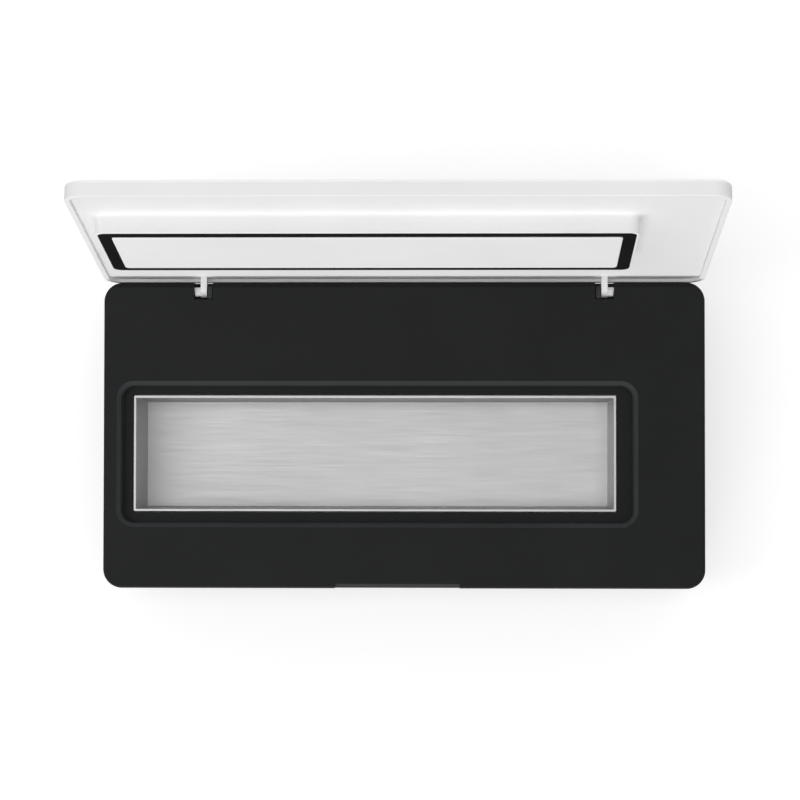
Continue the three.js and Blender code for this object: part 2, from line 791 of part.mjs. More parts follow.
// Thin metal tray with drawn walls that lean in towards the floor.
function wellLiner() {
  const outside = loft([
    linerRing(-linerDraft, linerOuterRadius, linerFloorZ - linerWall),
    linerRing(0, linerOuterRadius, recessFloorZ),
  ]);
  const leanPerHeight = linerDraft / (linerDepth + linerWall);
  const inside = loft([
    linerRing(leanPerHeight * linerWall - linerDraft - linerWall, linerCornerRadius, linerFloorZ),
    linerRing(leanPerHeight * cutOverrun - linerWall, linerCornerRadius, recessFloorZ + cutOverrun),
  ]);
  return outside.subtract(inside);
}

// The liner's outside with a gap round it, open upwards.
function linerClearance() {
  const radius = linerOuterRadius + fitGap;
  return loft([
    linerRing(fitGap - linerDraft, radius, linerFloorZ - linerWall - fitGap),
    linerRing(fitGap, radius, recessFloorZ),
    linerRing(fitGap, radius, deckHeight),
  ]);
}

function foamTub() {
  const top = recessUnderside - fitGap;
  const radius = insulationThickness;
  const outside = loft([linerRing(insulationThickness, radius, foamBottomZ),
    linerRing(insulationThickness, radius, top)]);
  const zs = span(coolerCentreZ, coldBlockHeight + 2 * fitGap);
  const xs = span(wellCentreX, coldBlockLength + 2 * fitGap);
  const blockWindow = block(xs, [wellCentreY, coldBlockRearY], zs);
  const sensorPocket = block(
    [wellCentreX, wellCentreX + linerLength / 2 + 2 * (sensorRadius + fitGap)],
    span(wellCentreY, 2 * (sensorRadius + fitGap)),
    span(sensorCentreZ, sensorLength + 2 * fitGap),
  );
  return cut(outside, [linerClearance(), blockWindow, sensorPocket]);
}

function temperatureSensor() {
  const leanPerHeight = linerDraft / (linerDepth + linerWall);
  const wallLean = leanPerHeight * (recessFloorZ - sensorCentreZ + sensorLength / 2);
  const x = wellCentreX + linerLength / 2 - wallLean + fitGap + sensorRadius + wallLean / 2;
  const body = rod('z', sensorRadius, span(sensorCentreZ, sensorLength), [x, wellCentreY]);
  return body.subtract(linerClearance());
}

function coldBlock() {
  const whole = block(span(wellCentreX, coldBlockLength), [wellCentreY, coldBlockRearY],
    span(coolerCentreZ, coldBlockHeight));
  const underLiner = block(span(wellCentreX, coldBlockLength + cutOverrun),
    [wellCentreY - cutOverrun, wellCentreY + linerWidth / 2 - linerDraft],
    span(coolerCentreZ, coldBlockHeight + cutOverrun));
  const screwRange = [foamRearY - insulationThickness, finRootY];
  return cut(whole, [linerClearance(), underLiner, ...clampScrewHoles(screwRange)]);
}

function clampScrewXs() {
  const reach = heatsinkLength / 2 - clampScrewInset;
  return [wellCentreX - reach, wellCentreX + reach];
}

function clampScrewHoles(range) {
  return clampScrewXs().map((x) => rod('y', screwRadius + fitGap, range, [x, coolerCentreZ], screwSides));
}

// Two ceramic plates on a smaller core of semiconductor legs.
function peltierModule() {
  const rear = peltierFrontY + peltierThickness;
  const plate = (ys) => block(span(wellCentreX, peltierSize), ys, span(coolerCentreZ, peltierSize));
  const coreSize = peltierSize - 2 * peltierCoreInset;
  return join([
    plate([peltierFrontY, peltierFrontY + peltierPlateThickness]),
    block(span(wellCentreX, coreSize), [peltierFrontY, rear], span(coolerCentreZ, coreSize)),
    plate([rear - peltierPlateThickness, rear]),
  ]);
}

// A base plate with upright fins in one comb-shaped outline, and bare flanks for the clamp screws.
function heatsink() {
  const [left, right] = span(wellCentreX, heatsinkLength);
  const finPitch = (finFieldLength - finThickness) / (finCount - 1);
  const comb = [[left, heatsinkFrontY], [right, heatsinkFrontY], [right, finRootY]];
  for (const x of evenly(finCount, finPitch, wellCentreX).reverse()) {
    const [near, far] = span(x, finThickness);
    comb.push([far, finRootY], [far, finTipY], [near, finTipY], [near, finRootY]);
  }
  comb.push([left, finRootY]);
  const body = prism(polygon(comb), 'z', span(coolerCentreZ, heatsinkHeight));
  return cut(body, clampScrewHoles([heatsinkFrontY - cutOverrun, finRootY + cutOverrun]));
}

function fanScrewPlaces() {
  const reach = fanScrewPitch / 2;
  return sides.flatMap((x) => sides.map((z) => [wellCentreX + x * reach, coolerCentreZ + z * reach]));
}

// Square frame with a round bore, and a stator disc on four struts at the exhaust side.
function fanFrame() {
  const frame = prism(roundedShape(fanSize, fanSize, fanCornerRadius, wellCentreX, coolerCentreZ), 'y',
    [fanFrontY, fanRearY]);
  const centre = [wellCentreX, coolerCentreZ];
  const bore = rod('y', fanBoreRadius, [fanFrontY - cutOverrun, fanRearY + cutOverrun], centre, boreSides);
  const screwHoles = fanScrewPlaces().map((at) => rod('y', screwRadius + fitGap,
    [fanFrontY - cutOverrun, fanRearY + cutOverrun], at, screwSides));
  const statorRange = [fanRearY - statorThickness, fanRearY];
  const strutReach = middle([fanBoreRadius, fanSize / 2]);
  const struts = Array.from({ length: strutCount / 2 }, (_, i) => {
    const bar = new THREE.BoxGeometry(2 * strutReach, statorThickness, strutWidth);
    bar.rotateY((i + 1 / 2) * quarterTurn);
    bar.translate(wellCentreX, middle(statorRange), coolerCentreZ);
    return toSolid(bar);
  });
  const rim = cut(frame, [bore]);
  const stator = rod('y', fanHubRadius, statorRange, centre, roundSides);
  const shaftHole = rod('y', shaftRadius + fitGap,
    [statorRange[0] - cutOverrun, fanRearY - statorThickness / 4], centre);
  return cut(join([rim, stator, ...struts]), [shaftHole, ...screwHoles]);
}

// Hub, shaft and twisted, cambered blades.
function fanRotor() {
  const hubFrontY = fanFrontY + fitGap;
  const hubRearY = fanRearY - statorThickness - fitGap;
  const shaftEndY = fanRearY - statorThickness / 4 - fitGap;
  const hub = turned('y', [[0, hubFrontY], [fanHubRadius - bladeThickness, hubFrontY],
    [fanHubRadius, hubFrontY + bladeThickness], [fanHubRadius, hubRearY], [shaftRadius, hubRearY],
    [shaftRadius, shaftEndY], [0, shaftEndY]], [wellCentreX, coolerCentreZ]);
  const rootRadius = fanHubRadius - bladeThickness;
  const tipRadius = fanBoreRadius - bladeTipGap;
  const bladeCentreY = middle([hubFrontY, hubRearY]);
  const blades = Array.from({ length: bladeCount }, (_, i) => loft(
    Array.from({ length: bladeSteps }, (_unused, step) => {
      const outwardShare = step / (bladeSteps - 1);
      const radius = THREE.MathUtils.lerp(rootRadius, tipRadius, outwardShare);
      const chord = THREE.MathUtils.lerp(bladeRootChord, bladeTipChord, outwardShare);
      const pitch = radians(THREE.MathUtils.lerp(bladeRootPitchDegrees, bladeTipPitchDegrees, outwardShare));
      return bladeSection(radius, chord, pitch, (i / bladeCount) * fullTurn, bladeCentreY);
    }),
  ));
  return join([hub, ...blades]);
}

// One cambered blade section, wrapped round the fan's axis at its radius.
function bladeSection(radius, chord, pitch, startAngle, centreY) {
  const alongShares = [-1 / 2, -1 / 4, 0, 1 / 4, 1 / 2];
  const edge = (thickness, shares) => shares.map((share) => {
    const along = share * chord;
    const off = bladeCamber * (1 - 4 * share * share) + thickness;
    const tangential = along * Math.cos(pitch) - off * Math.sin(pitch);
    const axial = along * Math.sin(pitch) + off * Math.cos(pitch);
    const angle = startAngle + tangential / radius;
    return new THREE.Vector3(
      wellCentreX + radius * Math.cos(angle),
      centreY + axial,
      coolerCentreZ + radius * Math.sin(angle),
    );
  });
  const back = edge(bladeThickness / 2, alongShares);
  const face = edge(-bladeThickness / 2, [...alongShares].reverse());
  return [...back, ...face];
}

// Slots that fill a circle, each as long as the circle is wide there.
function exhaustSlots() {
  const count = 2 * Math.floor((exhaustFieldRadius - slotWidth) / slotPitch) + 1;
  return evenly(count, slotPitch).map((rise) => {
    const reach = Math.sqrt(exhaustFieldRadius ** 2 - (Math.abs(rise) + slotWidth / 2) ** 2);
    return prism(roundedShape(2 * reach, slotWidth, slotWidth / 2, wellCentreX, coolerCentreZ + rise), 'y',
      [innerRearY - grilleFlangeThickness - cutOverrun, caseDepth / 2 + cutOverrun]);
  });
}

function exhaustGrille() {
  const plateSize = grilleSize - 2 * fitGap;
  const flangeSize = grilleSize + 2 * grilleFlangeWidth;
  const innerY = innerRearY - fitGap;
  const outline = (size) => roundedShape(size, size, grilleCornerRadius, wellCentreX, coolerCentreZ);
  const shaftRange = [innerRearY - grilleFlangeThickness - cutOverrun, caseDepth / 2];
  const headRange = [caseDepth / 2 - screwHeadHeight, caseDepth / 2 + cutOverrun];
  const screwHoles = fanScrewPlaces().flatMap((at) => [
    rod('y', screwRadius + fitGap, shaftRange, at, screwSides),
    rod('y', screwHeadRadius + fitGap, headRange, at),
  ]);
  return cut(join([
    prism(outline(plateSize), 'y', [innerY - grilleFlangeThickness, caseDepth / 2]),
    prism(outline(flangeSize), 'y', [innerY - grilleFlangeThickness, innerY]),
  ]), [...exhaustSlots(), ...screwHoles]);
}

function intakeGrille() {
  const centreY = intakeCentreY();
  const innerZ = shellFloorZ + fitGap;
  const outline = (growth) => roundedShape(grilleSize + 2 * growth, intakeDepth + 2 * growth,
    grilleCornerRadius, wellCentreX, centreY);
  const slots = evenly(intakeSlotCount, slotPitch, centreY).map((y) => prism(
    roundedShape(intakeFieldLength, slotWidth, slotWidth / 2, wellCentreX, y), 'z',
    [footHeight - cutOverrun, innerZ + grilleFlangeThickness + cutOverrun]));
  return cut(join([
    prism(outline(-fitGap), 'z', [footHeight, innerZ + grilleFlangeThickness]),
    prism(outline(grilleFlangeWidth), 'z', [innerZ, innerZ + grilleFlangeThickness]),
  ]), slots);
}

function cellPlaces() {
  const starts = Array.from({ length: cellColumnCount }, (_, column) => cellStartX + column * cellPitchX);
  return starts.flatMap((x) => cellRowZ.map((z) => ({ x, z })));
}

function batteryCell({ x, z }) {
  const end = x + cellLength;
  return turned('x', [[0, x], [cellRadius - cellEdgeRadius, x], [cellRadius, x + cellEdgeRadius],
    [cellRadius, end - cellEdgeRadius], [cellRadius - cellEdgeRadius, end], [cellNubRadius, end],
    [cellNubRadius, end + cellNubHeight], [0, end + cellNubHeight]], [cellCentreY, z]);
}

// Cradle of half pockets behind the cells, with a wall at each end.
function batteryHolder() {
  const body = block([holderLeftX, holderRightX], [holderFrontY, holderRearY], [holderBottomZ, holderTopZ]);
  const roomX = [holderLeftX + holderWall, holderRightX - holderWall];
  const pockets = cellRowZ.map((z) => rod('x', cellPocketRadius, roomX, [cellCentreY, z], roundSides));
  const front = block(roomX, [holderFrontY - cutOverrun, cellCentreY],
    [holderBottomZ + holderWall, holderTopZ + cutOverrun]);
  return cut(body, [...pockets, front, ...sides.map((side) => contactPlate(side, fitGap))]);
}

// A plate across the ends of two cells. The growth gives the slot that it stands in.
function contactPlate(side, growth = 0) {
  const reach = cellRadius - contactInset + growth;
  const endX = side < 0 ? holderLeftX + holderWall + fitGap : holderRightX - holderWall - fitGap;
  const farX = endX - side * contactThickness;
  return block([Math.min(endX, farX) - growth, Math.max(endX, farX) + growth], span(cellCentreY, 2 * reach),
    [cellRowZ[0] - reach, cellRowZ[cellRowCount - 1] + reach]);
}

// Circuit board with a switch soldered behind each button.
function displayBoard() {
  const plate = block([displayBoardLeftX, displayBoardRightX],
    [displayBoardFrontY, displayBoardFrontY + boardThickness], span(displayCentreZ, displayBoardHeight));
  const holeRange = [displayBoardFrontY - cutOverrun, displayBoardFrontY + boardThickness + cutOverrun];
  const holes = displayBoardHoles().map((at) => rod('y', boardScrewRadius + fitGap, holeRange, at, screwSides));
  return cut(join([plate, ...buttonXs.map(buttonSwitch)]), holes);
}

function displayModule() {
  const radius = displayCornerRadius / 2;
  const outline = roundedShape(moduleLength, moduleHeight, radius, displayCentreX, displayCentreZ);
  return prism(outline, 'y', [innerFrontY + fitGap, displayBoardFrontY - fitGap]);
}

function displayWindow() {
  const radius = displayCornerRadius;
  const outline = roundedShape(displayLength, displayHeight, radius, displayCentreX, displayCentreZ);
  return prism(outline, 'y', [-caseDepth / 2, windowThickness - caseDepth / 2]);
}

// Cap with a rounded edge, a stem through the wall and a flange behind it.
function pushButton(x) {
  const frontY = -caseDepth / 2 - buttonProud;
  const rearY = buttonFlangeY + buttonFlangeThickness;
  return turned('y', [[0, frontY], [buttonRadius - buttonEdgeRadius, frontY],
    [buttonRadius, frontY + buttonEdgeRadius], [buttonRadius, buttonFlangeY],
    [buttonFlangeRadius, buttonFlangeY], [buttonFlangeRadius, rearY], [0, rearY]], [x, displayCentreZ]);
}

function buttonSwitch(x) {
  return join([
    block(span(x, switchSize), [switchFrontY, displayBoardFrontY + boardThickness / 2],
      span(displayCentreZ, switchSize)),
    rod('y', plungerRadius, [plungerTipY, switchFrontY + plungerHeight], [x, displayCentreZ]),
  ]);
}

// Circuit board with its connectors, storage coil, capacitor and controller.
function controlBoard() {
  const [frontHoleY, rearHoleY] = controlHoleYs;
  const [frontY, rearY] = [controlBoardFrontY, controlBoardRearY];
  const onTop = (height) => [controlBoardZ, controlBoardTopZ + height];
  const plate = block(span(controlBoardCentreX, controlBoardWidth), [frontY, rearY], onTop(0));
  const connector = (x, ys) => block(span(x, connectorWidth), ys, onTop(connectorHeight));
  const coilX = controlBoardRightX - coilRadius;
  const coil = rod('z', coilRadius, onTop(coilHeight), [coilX, controlBoardCentreY]);
  const capacitor = rod('z', capacitorRadius, onTop(capacitorHeight),
    [controlBoardRightX - capacitorRadius, frontHoleY + boardHoleInset + capacitorRadius]);
  const controller = block(span(controlBoardCentreX - boardHoleInset, controllerSize),
    span(controlBoardCentreY + controllerSize, controllerSize), onTop(controllerHeight));
  const holes = [frontHoleY, rearHoleY].map((y) => rod('z', boardScrewRadius + fitGap,
    [controlBoardZ - cutOverrun, controlBoardTopZ + cutOverrun], [controlHoleX, y], screwSides));
  return cut(join([
    plate,
    ...connectorXs.map((x) => connector(x, [rearY - connectorLength, rearY])),
    connector(connectorXs[0], [frontY, frontY + connectorLength]),
    coil,
    capacitor,
    controller,
  ]), holes);
}

// Metal shell with a rounded mouth and a tongue inside.
function chargingSocket() {
  const xs = [caseLength / 2 - socketSink - socketLength, caseLength / 2 - socketSink];
  const z = socketCentreZ();
  const outline = (inset) => roundedShape(socketWidth - 2 * inset, socketHeight - 2 * inset,
    socketCornerRadius - inset, socketCentreY, z);
  const shell = prism(outline(0), 'x', xs);
  const mouth = prism(outline(socketShell), 'x', [xs[0] + socketShell, xs[1] + cutOverrun]);
  const tongue = block([xs[0], xs[1] - cutOverrun], span(socketCentreY, socketWidth - socketHeight),
    span(z, tongueThickness));
  return join([shell.subtract(mouth), tongue]);
}

// A lead along a smooth curve through the points.
function lead(points) {
  const circle = new THREE.Shape();
  circle.absarc(0, 0, leadRadius, 0, fullTurn);
  const knots = points.map((point) => new THREE.Vector3(...point));
  return toSolid(new THREE.ExtrudeGeometry(circle, {
    steps: leadSteps,
    extrudePath: new THREE.CatmullRomCurve3(knots, false, 'centripetal'),
    curveSegments: edgeSteps,
  }));
}

// Each lead runs straight out of its piece, along the floor and straight into its connector.
function leads() {
  const plugZ = controlBoardTopZ + connectorHeight / 2;
  const floorZ = shellFloorZ + leadFloorClearance + leadRadius;
  const cornerX = foamRightX + leadRadius;
  const intoBoard = (x, edgeY, outward) => [[x, edgeY + outward * (fitGap + leadStraight), plugZ],
    [x, edgeY + outward * fitGap, plugZ]];
  const fanEdgeX = wellCentreX + fanSize / 2 + fitGap;
  const fanLeadY = middle([fanFrontY, fanRearY]);
  const fanLeadZ = coolerCentreZ - fanSize / 2 + fanCornerRadius + leadRadius;
  const peltierEdgeX = wellCentreX + peltierSize / 2 + fitGap;
  const peltierLeadY = middle([peltierFrontY, heatsinkFrontY - fitGap]);
  const peltierLeadZ = coolerCentreZ - peltierSize / 2 + 2 * peltierCoreInset;
  const clearX = wellCentreX + heatsinkLength / 2 + leadStraight;
  const besideFanLeadY = fanLeadY - 4 * leadRadius;
  const behindBoardY = holderRearY - 2 * leadRadius;
  return {
    fan_lead: [[fanEdgeX, fanLeadY, fanLeadZ], [fanEdgeX + leadStraight, fanLeadY, fanLeadZ],
      [fanEdgeX + fanThickness, fanLeadY, floorZ], [cornerX, fanLeadY, floorZ],
      ...intoBoard(connectorXs[1], controlBoardRearY, 1)],
    peltier_lead: [[peltierEdgeX, peltierLeadY, peltierLeadZ], [clearX, peltierLeadY, peltierLeadZ],
      [clearX + fanThickness, middle([peltierLeadY, besideFanLeadY]), floorZ],
      [cornerX - connectorWidth, besideFanLeadY, floorZ],
      ...intoBoard(connectorXs[0], controlBoardRearY, 1)],
    battery_lead: [[holderRightX + fitGap, cellCentreY, cellRowZ[0]],
      [holderRightX + leadStraight, cellCentreY, cellRowZ[0]],
      [holderRightX + fanThickness, behindBoardY, floorZ], [cornerX, behindBoardY, floorZ],
      ...intoBoard(connectorXs[0], controlBoardFrontY, -1)],
  };
}

// Outer cover of the lid, with the rim that stands round the inner panel.
function lidShell() {
  const outside = loft([
    caseRing(0, rimZ),
    ...roundedEdgeRings(lidEdgeRadius, lidTopZ, false),
  ]);
  const ledgeZ = panelTopZ + fitGap;
  const inside = loft([
    caseRing(rimWidth, rimZ - cutOverrun),
    caseRing(rimWidth, ledgeZ),
    caseRing(rimWidth + lidLedge, ledgeZ),
    caseRing(rimWidth + lidLedge, lidCeilingZ),
  ]);
  return outside.subtract(inside);
}

// White panel with the plinth that seals the well, and the two hinge arms with their stub pins.
function lidInner() {
  const panel = loft([caseRing(rimWidth + fitGap, panelZ), caseRing(rimWidth + fitGap, panelTopZ)]);
  const plinth = loft([
    plinthRing(0, plinthTipZ),
    plinthRing(plinthFlare, middle([panelZ, panelTopZ])),
  ]);
  const cavity = loft([
    plinthRing(-plinthWall, plinthTipZ + plinthTipThickness),
    plinthRing(-plinthWall, panelTopZ + cutOverrun),
  ]);
  const sealPocket = loft([sealRing(fitGap, plinthTipZ - cutOverrun), sealRing(fitGap, sealPocketZ)]);
  const arms = sides.map((side) => hingeArm(side));
  return cut(join([panel, plinth, ...arms]), [cavity, sealPocket]);
}

// A ring of the gasket's outer edge, which centres the gasket on the liner's rim.
function sealRing(growth, z) {
  return linerRing(gasketWidth / 2 + growth, gasketCornerRadius + growth, z);
}

// A ring of the plinth, which stands a land's width outside the gasket.
function plinthRing(growth, z) {
  return sealRing(fitGap + plinthLand + growth, z);
}

function hingeArm(side) {
  const xs = span(side * hingeSpread, armThickness);
  const neck = block(xs, [hingeY - knuckleRadius, armRearY], [hingeZ, middle([panelZ, panelTopZ])]);
  const knuckle = rod('x', knuckleRadius, xs, [hingeY, hingeZ]);
  const pinEnd = side * (hingeSpread + notchWidth / 2 + bearingWall - fitGap);
  const pin = rod('x', hingePinRadius, [side * hingeSpread, pinEnd].sort((a, b) => a - b), [hingeY, hingeZ]);
  return join([neck, knuckle, pin]);
}

// Wedge beside the arm that keeps its pin from springing out of the bearing.
function hingeRetainer(side) {
  const inner = side * (hingeSpread - notchWidth / 2) + side * fitGap;
  const outer = side * (hingeSpread - armThickness / 2) - side * fitGap;
  const frontY = caseDepth / 2 - notchDepth + fitGap;
  const rearY = caseDepth / 2 - deckEdgeRadius;
  const topZ = deckHeight - retainerSink;
  const outline = polygon([
    [frontY, notchFloorZ + fitGap],
    [rearY, notchFloorZ + fitGap],
    [rearY, topZ - retainerRamp],
    [hingeY, topZ - retainerRamp / 4],
    [frontY, topZ],
  ]);
  return prism(outline, 'x', [inner, outer].sort((a, b) => a - b));
}

function lidGasket() {
  const backZ = sealPocketZ - fitGap;
  const innerRing = (growth, z) => linerRing(growth - gasketWidth / 2, gasketCornerRadius / 2 + growth, z);
  const outside = loft([
    sealRing(-gasketEdgeRadius, gasketFaceZ),
    sealRing(0, gasketFaceZ + gasketEdgeRadius),
    sealRing(0, backZ),
  ]);
  const inside = loft([
    innerRing(gasketEdgeRadius, gasketFaceZ - cutOverrun),
    innerRing(gasketEdgeRadius, gasketFaceZ),
    innerRing(0, gasketFaceZ + gasketEdgeRadius),
    innerRing(0, backZ + cutOverrun),
  ]);
  return outside.subtract(inside);
}

function lidCentrePanel() {
  const ring = (growth, z) => linerRing(growth - gasketWidth / 2 - fitGap, gasketCornerRadius / 2, z);
  const faceZ = gasketFaceZ - centrePanelProud;
  return loft([
    ring(-gasketEdgeRadius, faceZ),
    ring(0, faceZ + gasketEdgeRadius),
    ring(0, sealPocketZ - fitGap),
  ]);
}

function lidFoam() {
  const growth = -plinthWall - fitGap;
  return loft([
    plinthRing(growth, plinthTipZ + plinthTipThickness + fitGap),
    plinthRing(growth, panelTopZ),
  ]);
}

// Base
place(model, 'base_shell', baseShell(), finishes.blackPlastic);
place(model, 'top_deck', topDeck(), finishes.blackPlastic);
place(model, 'well_liner', wellLiner(), finishes.bareAluminium);
place(model, 'well_insulation', foamTub(), finishes.foam);
place(model, 'temperature_sensor', temperatureSensor(), finishes.glass);

for (const side of sides) {
  const range = [deckUnderside - fitGap - deckMagnetThickness, deckUnderside - fitGap];
  const magnet = rod('z', magnetRadius, range, magnetPlace(side), roundSides);
  place(model, `hinge_retainer_${sideNames[side]}`, hingeRetainer(side), finishes.greyPlastic);
  place(model, `deck_magnet_${sideNames[side]}`, magnet, finishes.nickel);
}

footPlaces().forEach(([x, y], i) => {
  const top = footHeight + footSeatDepth - fitGap;
  const profile = [[0, 0], [footRadius - footEdgeRadius, 0], [footRadius, footEdgeRadius], [footRadius, top],
    [0, top]];
  place(model, `foot_${i + 1}`, turned('z', profile, [x, y]), finishes.blackRubber);
});

pillarPlaces().forEach((at, i) => {
  const headFace = footHeight + headSink + screwHeadHeight;
  place(model, `case_screw_${i + 1}`, screw('z', headFace, headFace + caseScrewLength, at, screwRadius,
    screwHeadRadius, screwHeadHeight), finishes.steel);
});

// Cooling train
place(model, 'cold_block', coldBlock(), finishes.bareAluminium);
place(model, 'peltier_module', peltierModule(), finishes.ceramic);
place(model, 'heatsink', heatsink(), finishes.darkAluminium);
place(model, 'fan_frame', fanFrame(), finishes.blackPlastic);
place(model, 'fan_rotor', fanRotor(), finishes.blackPlastic);
place(model, 'exhaust_grille', exhaustGrille(), finishes.blackPlastic);
place(model, 'intake_grille', intakeGrille(), finishes.blackPlastic);

clampScrewXs().forEach((x, i) => {
  const headFace = finRootY + fitGap;
  place(model, `clamp_screw_${i + 1}`, screw('y', headFace, headFace - clampScrewLength, [x, coolerCentreZ],
    screwRadius, screwHeadRadius, screwHeadHeight), finishes.steel);
});

fanScrewPlaces().forEach((at, i) => {
  const headFace = caseDepth / 2 - screwHeadHeight + fitGap;
  place(model, `fan_screw_${i + 1}`, screw('y', headFace, fanFrontY + fitGap, at, screwRadius,
    screwHeadRadius, screwHeadHeight - fitGap), finishes.steel);
});

// Electronics
place(model, 'battery_holder', batteryHolder(), finishes.blackPlastic);
cellPlaces().forEach((cell, i) => {
  place(model, `battery_cell_${i + 1}`, batteryCell(cell), finishes.wrap);
});
for (const side of sides) {
  place(model, `battery_contact_${sideNames[side]}`, contactPlate(side), finishes.nickel);
}
place(model, 'display_board', displayBoard(), finishes.board);
place(model, 'display_module', displayModule(), finishes.greyPlastic);
place(model, 'display_window', displayWindow(), finishes.glass);
buttonXs.forEach((x, i) => {
  place(model, `button_${i + 1}`, pushButton(x), finishes.greyPlastic);
});
displayBoardHoles().forEach((at, i) => {
  const headFace = displayBoardFrontY + boardThickness + fitGap;
  place(model, `display_board_screw_${i + 1}`, screw('y', headFace, headFace - boardScrewLength, at,
    boardScrewRadius, boardScrewHeadRadius, boardScrewHeadHeight), finishes.steel);
});
place(model, 'control_board', controlBoard(), finishes.board);
place(model, 'charging_socket', chargingSocket(), finishes.nickel);
controlHoleYs.forEach((y, i) => {
  const headFace = controlBoardTopZ + fitGap;
  place(model, `control_board_screw_${i + 1}`, screw('z', headFace, headFace - boardScrewLength,
    [controlHoleX, y], boardScrewRadius, boardScrewHeadRadius, boardScrewHeadHeight), finishes.steel);
});

for (const [name, points] of Object.entries(leads())) {
  place(model, name, lead(points), finishes.lead);
}

// Lid, drawn closed inside a group that turns open about the hinge axis
const lidTurn = new THREE.Group();
lidTurn.position.set(0, hingeY, hingeZ);
lidTurn.rotation.x = -radians(openAngleDegrees);
const lid = new THREE.Group();
lid.position.set(0, -hingeY, -hingeZ);
lidTurn.add(lid);
model.add(lidTurn);

place(lid, 'lid_shell', lidShell(), finishes.whitePlastic);
place(lid, 'lid_inner', lidInner(), finishes.whitePlastic);
place(lid, 'lid_gasket', lidGasket(), finishes.blackRubber);
place(lid, 'lid_centre_panel', lidCentrePanel(), finishes.whitePlastic);
place(lid, 'lid_insulation', lidFoam(), finishes.foam);
for (const side of sides) {
  const range = [panelTopZ + fitGap, lidCeilingZ - fitGap];
  const magnet = rod('z', magnetRadius, range, magnetPlace(side), roundSides);
  place(lid, `lid_magnet_${sideNames[side]}`, magnet, finishes.nickel);
}

export default model;
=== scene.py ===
import json
from math import cos, hypot, pi, radians, sin, sqrt

import bmesh
import bpy
from mathutils import Euler, Matrix, Vector


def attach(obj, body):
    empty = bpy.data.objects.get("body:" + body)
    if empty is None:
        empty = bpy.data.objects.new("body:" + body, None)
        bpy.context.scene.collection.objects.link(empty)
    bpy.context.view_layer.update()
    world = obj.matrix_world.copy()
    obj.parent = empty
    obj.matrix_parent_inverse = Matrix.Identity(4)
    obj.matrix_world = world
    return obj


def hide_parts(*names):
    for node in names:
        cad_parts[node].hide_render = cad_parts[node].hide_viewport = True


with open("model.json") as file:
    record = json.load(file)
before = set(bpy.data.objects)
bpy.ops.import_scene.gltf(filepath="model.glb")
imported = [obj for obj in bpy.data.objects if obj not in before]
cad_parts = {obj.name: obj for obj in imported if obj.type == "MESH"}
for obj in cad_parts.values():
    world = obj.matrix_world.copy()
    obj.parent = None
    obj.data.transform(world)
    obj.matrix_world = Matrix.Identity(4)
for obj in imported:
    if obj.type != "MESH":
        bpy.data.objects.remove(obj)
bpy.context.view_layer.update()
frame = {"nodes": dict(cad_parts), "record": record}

MM = 0.001

# Camera, in metres and degrees, at the photograph's angle almost straight above the open case
CAMERA_PLACE = (23.09 * MM, -16.87 * MM, 1077.83 * MM)
CAMERA_TURN = (1.720, 1.371, 0.067)
CAMERA_FIELD = 17.442
CAMERA_NEAR, CAMERA_FAR = 0.05, 20

# Floor and sky, in metres and degrees. Each has one strength where it is seen, and another as a light
WHITE = (1, 1, 1, 1)
FLOOR_SIZE, FLOOR_DROP = 3.2, 0.0002
FLOOR_SEEN, FLOOR_FILL, FLOOR_GLOW = 0.62, 0.12, 0.5
FLOOR_ROUGHNESS, FLOOR_SHINE = 0.95, 0.1
SKY_RISE, SKY_LOW, SKY_HIGH, SKY_FILL = 35, 1.0, 0.42, 0.67

# Lamps: azimuth and elevation in degrees, distance and size in metres, and level
LAMP_AIM = (0, 0, 0.06)
LAMPS = {
    "soft_overhead": (-86, 74, 1.9, (0.6, 2.2), 0.38),
    "soft_front": (-8, 12, 3.0, (3.0, 1.0), 0.57),
    "soft_rear": (172, 6, 2.5, (2.4, 0.5), 0.5),
}

# Plastics: darker and lighter sRGB tone, roughness, grain per metre, its depth in metres, specular level
PLASTICS = {
    "housing_black": ((18, 19, 20), (22, 23, 24), 0.5, 1700, 0.00003, 0.13),
    # Painted light: a lighter copy of the deck's black for the recess's sloped side, as if the slope caught
    # the light, and for its wall, painted against its shade
    "housing_edge": ((54, 56, 57), (58, 60, 61), 0.7, 1700, 0.00002, 0.0),
    # Painted light: a lighter, rougher copy of the deck's black for the finger notch's scoop, as if lit from
    # the front
    "housing_scoop": ((32, 33, 34), (36, 37, 38), 0.75, 1700, 0.00002, 0.1),
    "lid_white": ((232, 232, 232), (236, 236, 236), 0.6, 900, 0.000008, 0.05),
    "hinge_grey": ((48, 50, 51), (56, 58, 59), 0.6, 1500, 0.00002, 0.2),
    "button_grey": ((70, 72, 74), (78, 80, 82), 0.42, 1500, 0.00002, 0.5),
    "ceramic": ((238, 238, 235), (244, 244, 241), 0.5, 1800, 0.00001, 0.5),
    "circuit_board": ((20, 78, 50), (26, 92, 60), 0.4, 500, 0.00002, 0.5),
    "cell_wrap": ((38, 105, 168), (46, 116, 180), 0.3, 300, 0.00001, 0.5),
    "display_glass": ((8, 9, 10), (12, 13, 14), 0.12, 200, 0.000001, 0.22),
    "lead_sleeve": ((150, 30, 26), (168, 38, 32), 0.45, 800, 0.00001, 0.5),
}

# Metals: both tones, roughness, stretch of the grain, its depth, grain per metre, swing of the roughness
METALS = {
    "liner_aluminium": ((177, 177, 178), (185, 185, 186), 0.5, (0.02, 1, 1), 0.0000012, 2400, 0.04),
    "cooling_aluminium": ((150, 152, 155), (172, 174, 176), 0.45, (1, 1, 0.05), 0.00002, 700, 0.08),
    "screw_steel": ((128, 128, 130), (146, 146, 148), 0.5, (1, 1, 1), 0.00001, 400, 0.08),
    "nickel": ((205, 204, 200), (222, 221, 217), 0.22, (1, 1, 1), 0.000005, 400, 0.08),
}

# Rubbers: both tones, roughness, specular level
RUBBERS = {
    "gasket_rubber": ((27, 27, 27), (31, 31, 31), 0.85, 0.0),
    "foot_rubber": ((24, 24, 24), (30, 30, 30), 0.8, 0.3),
}

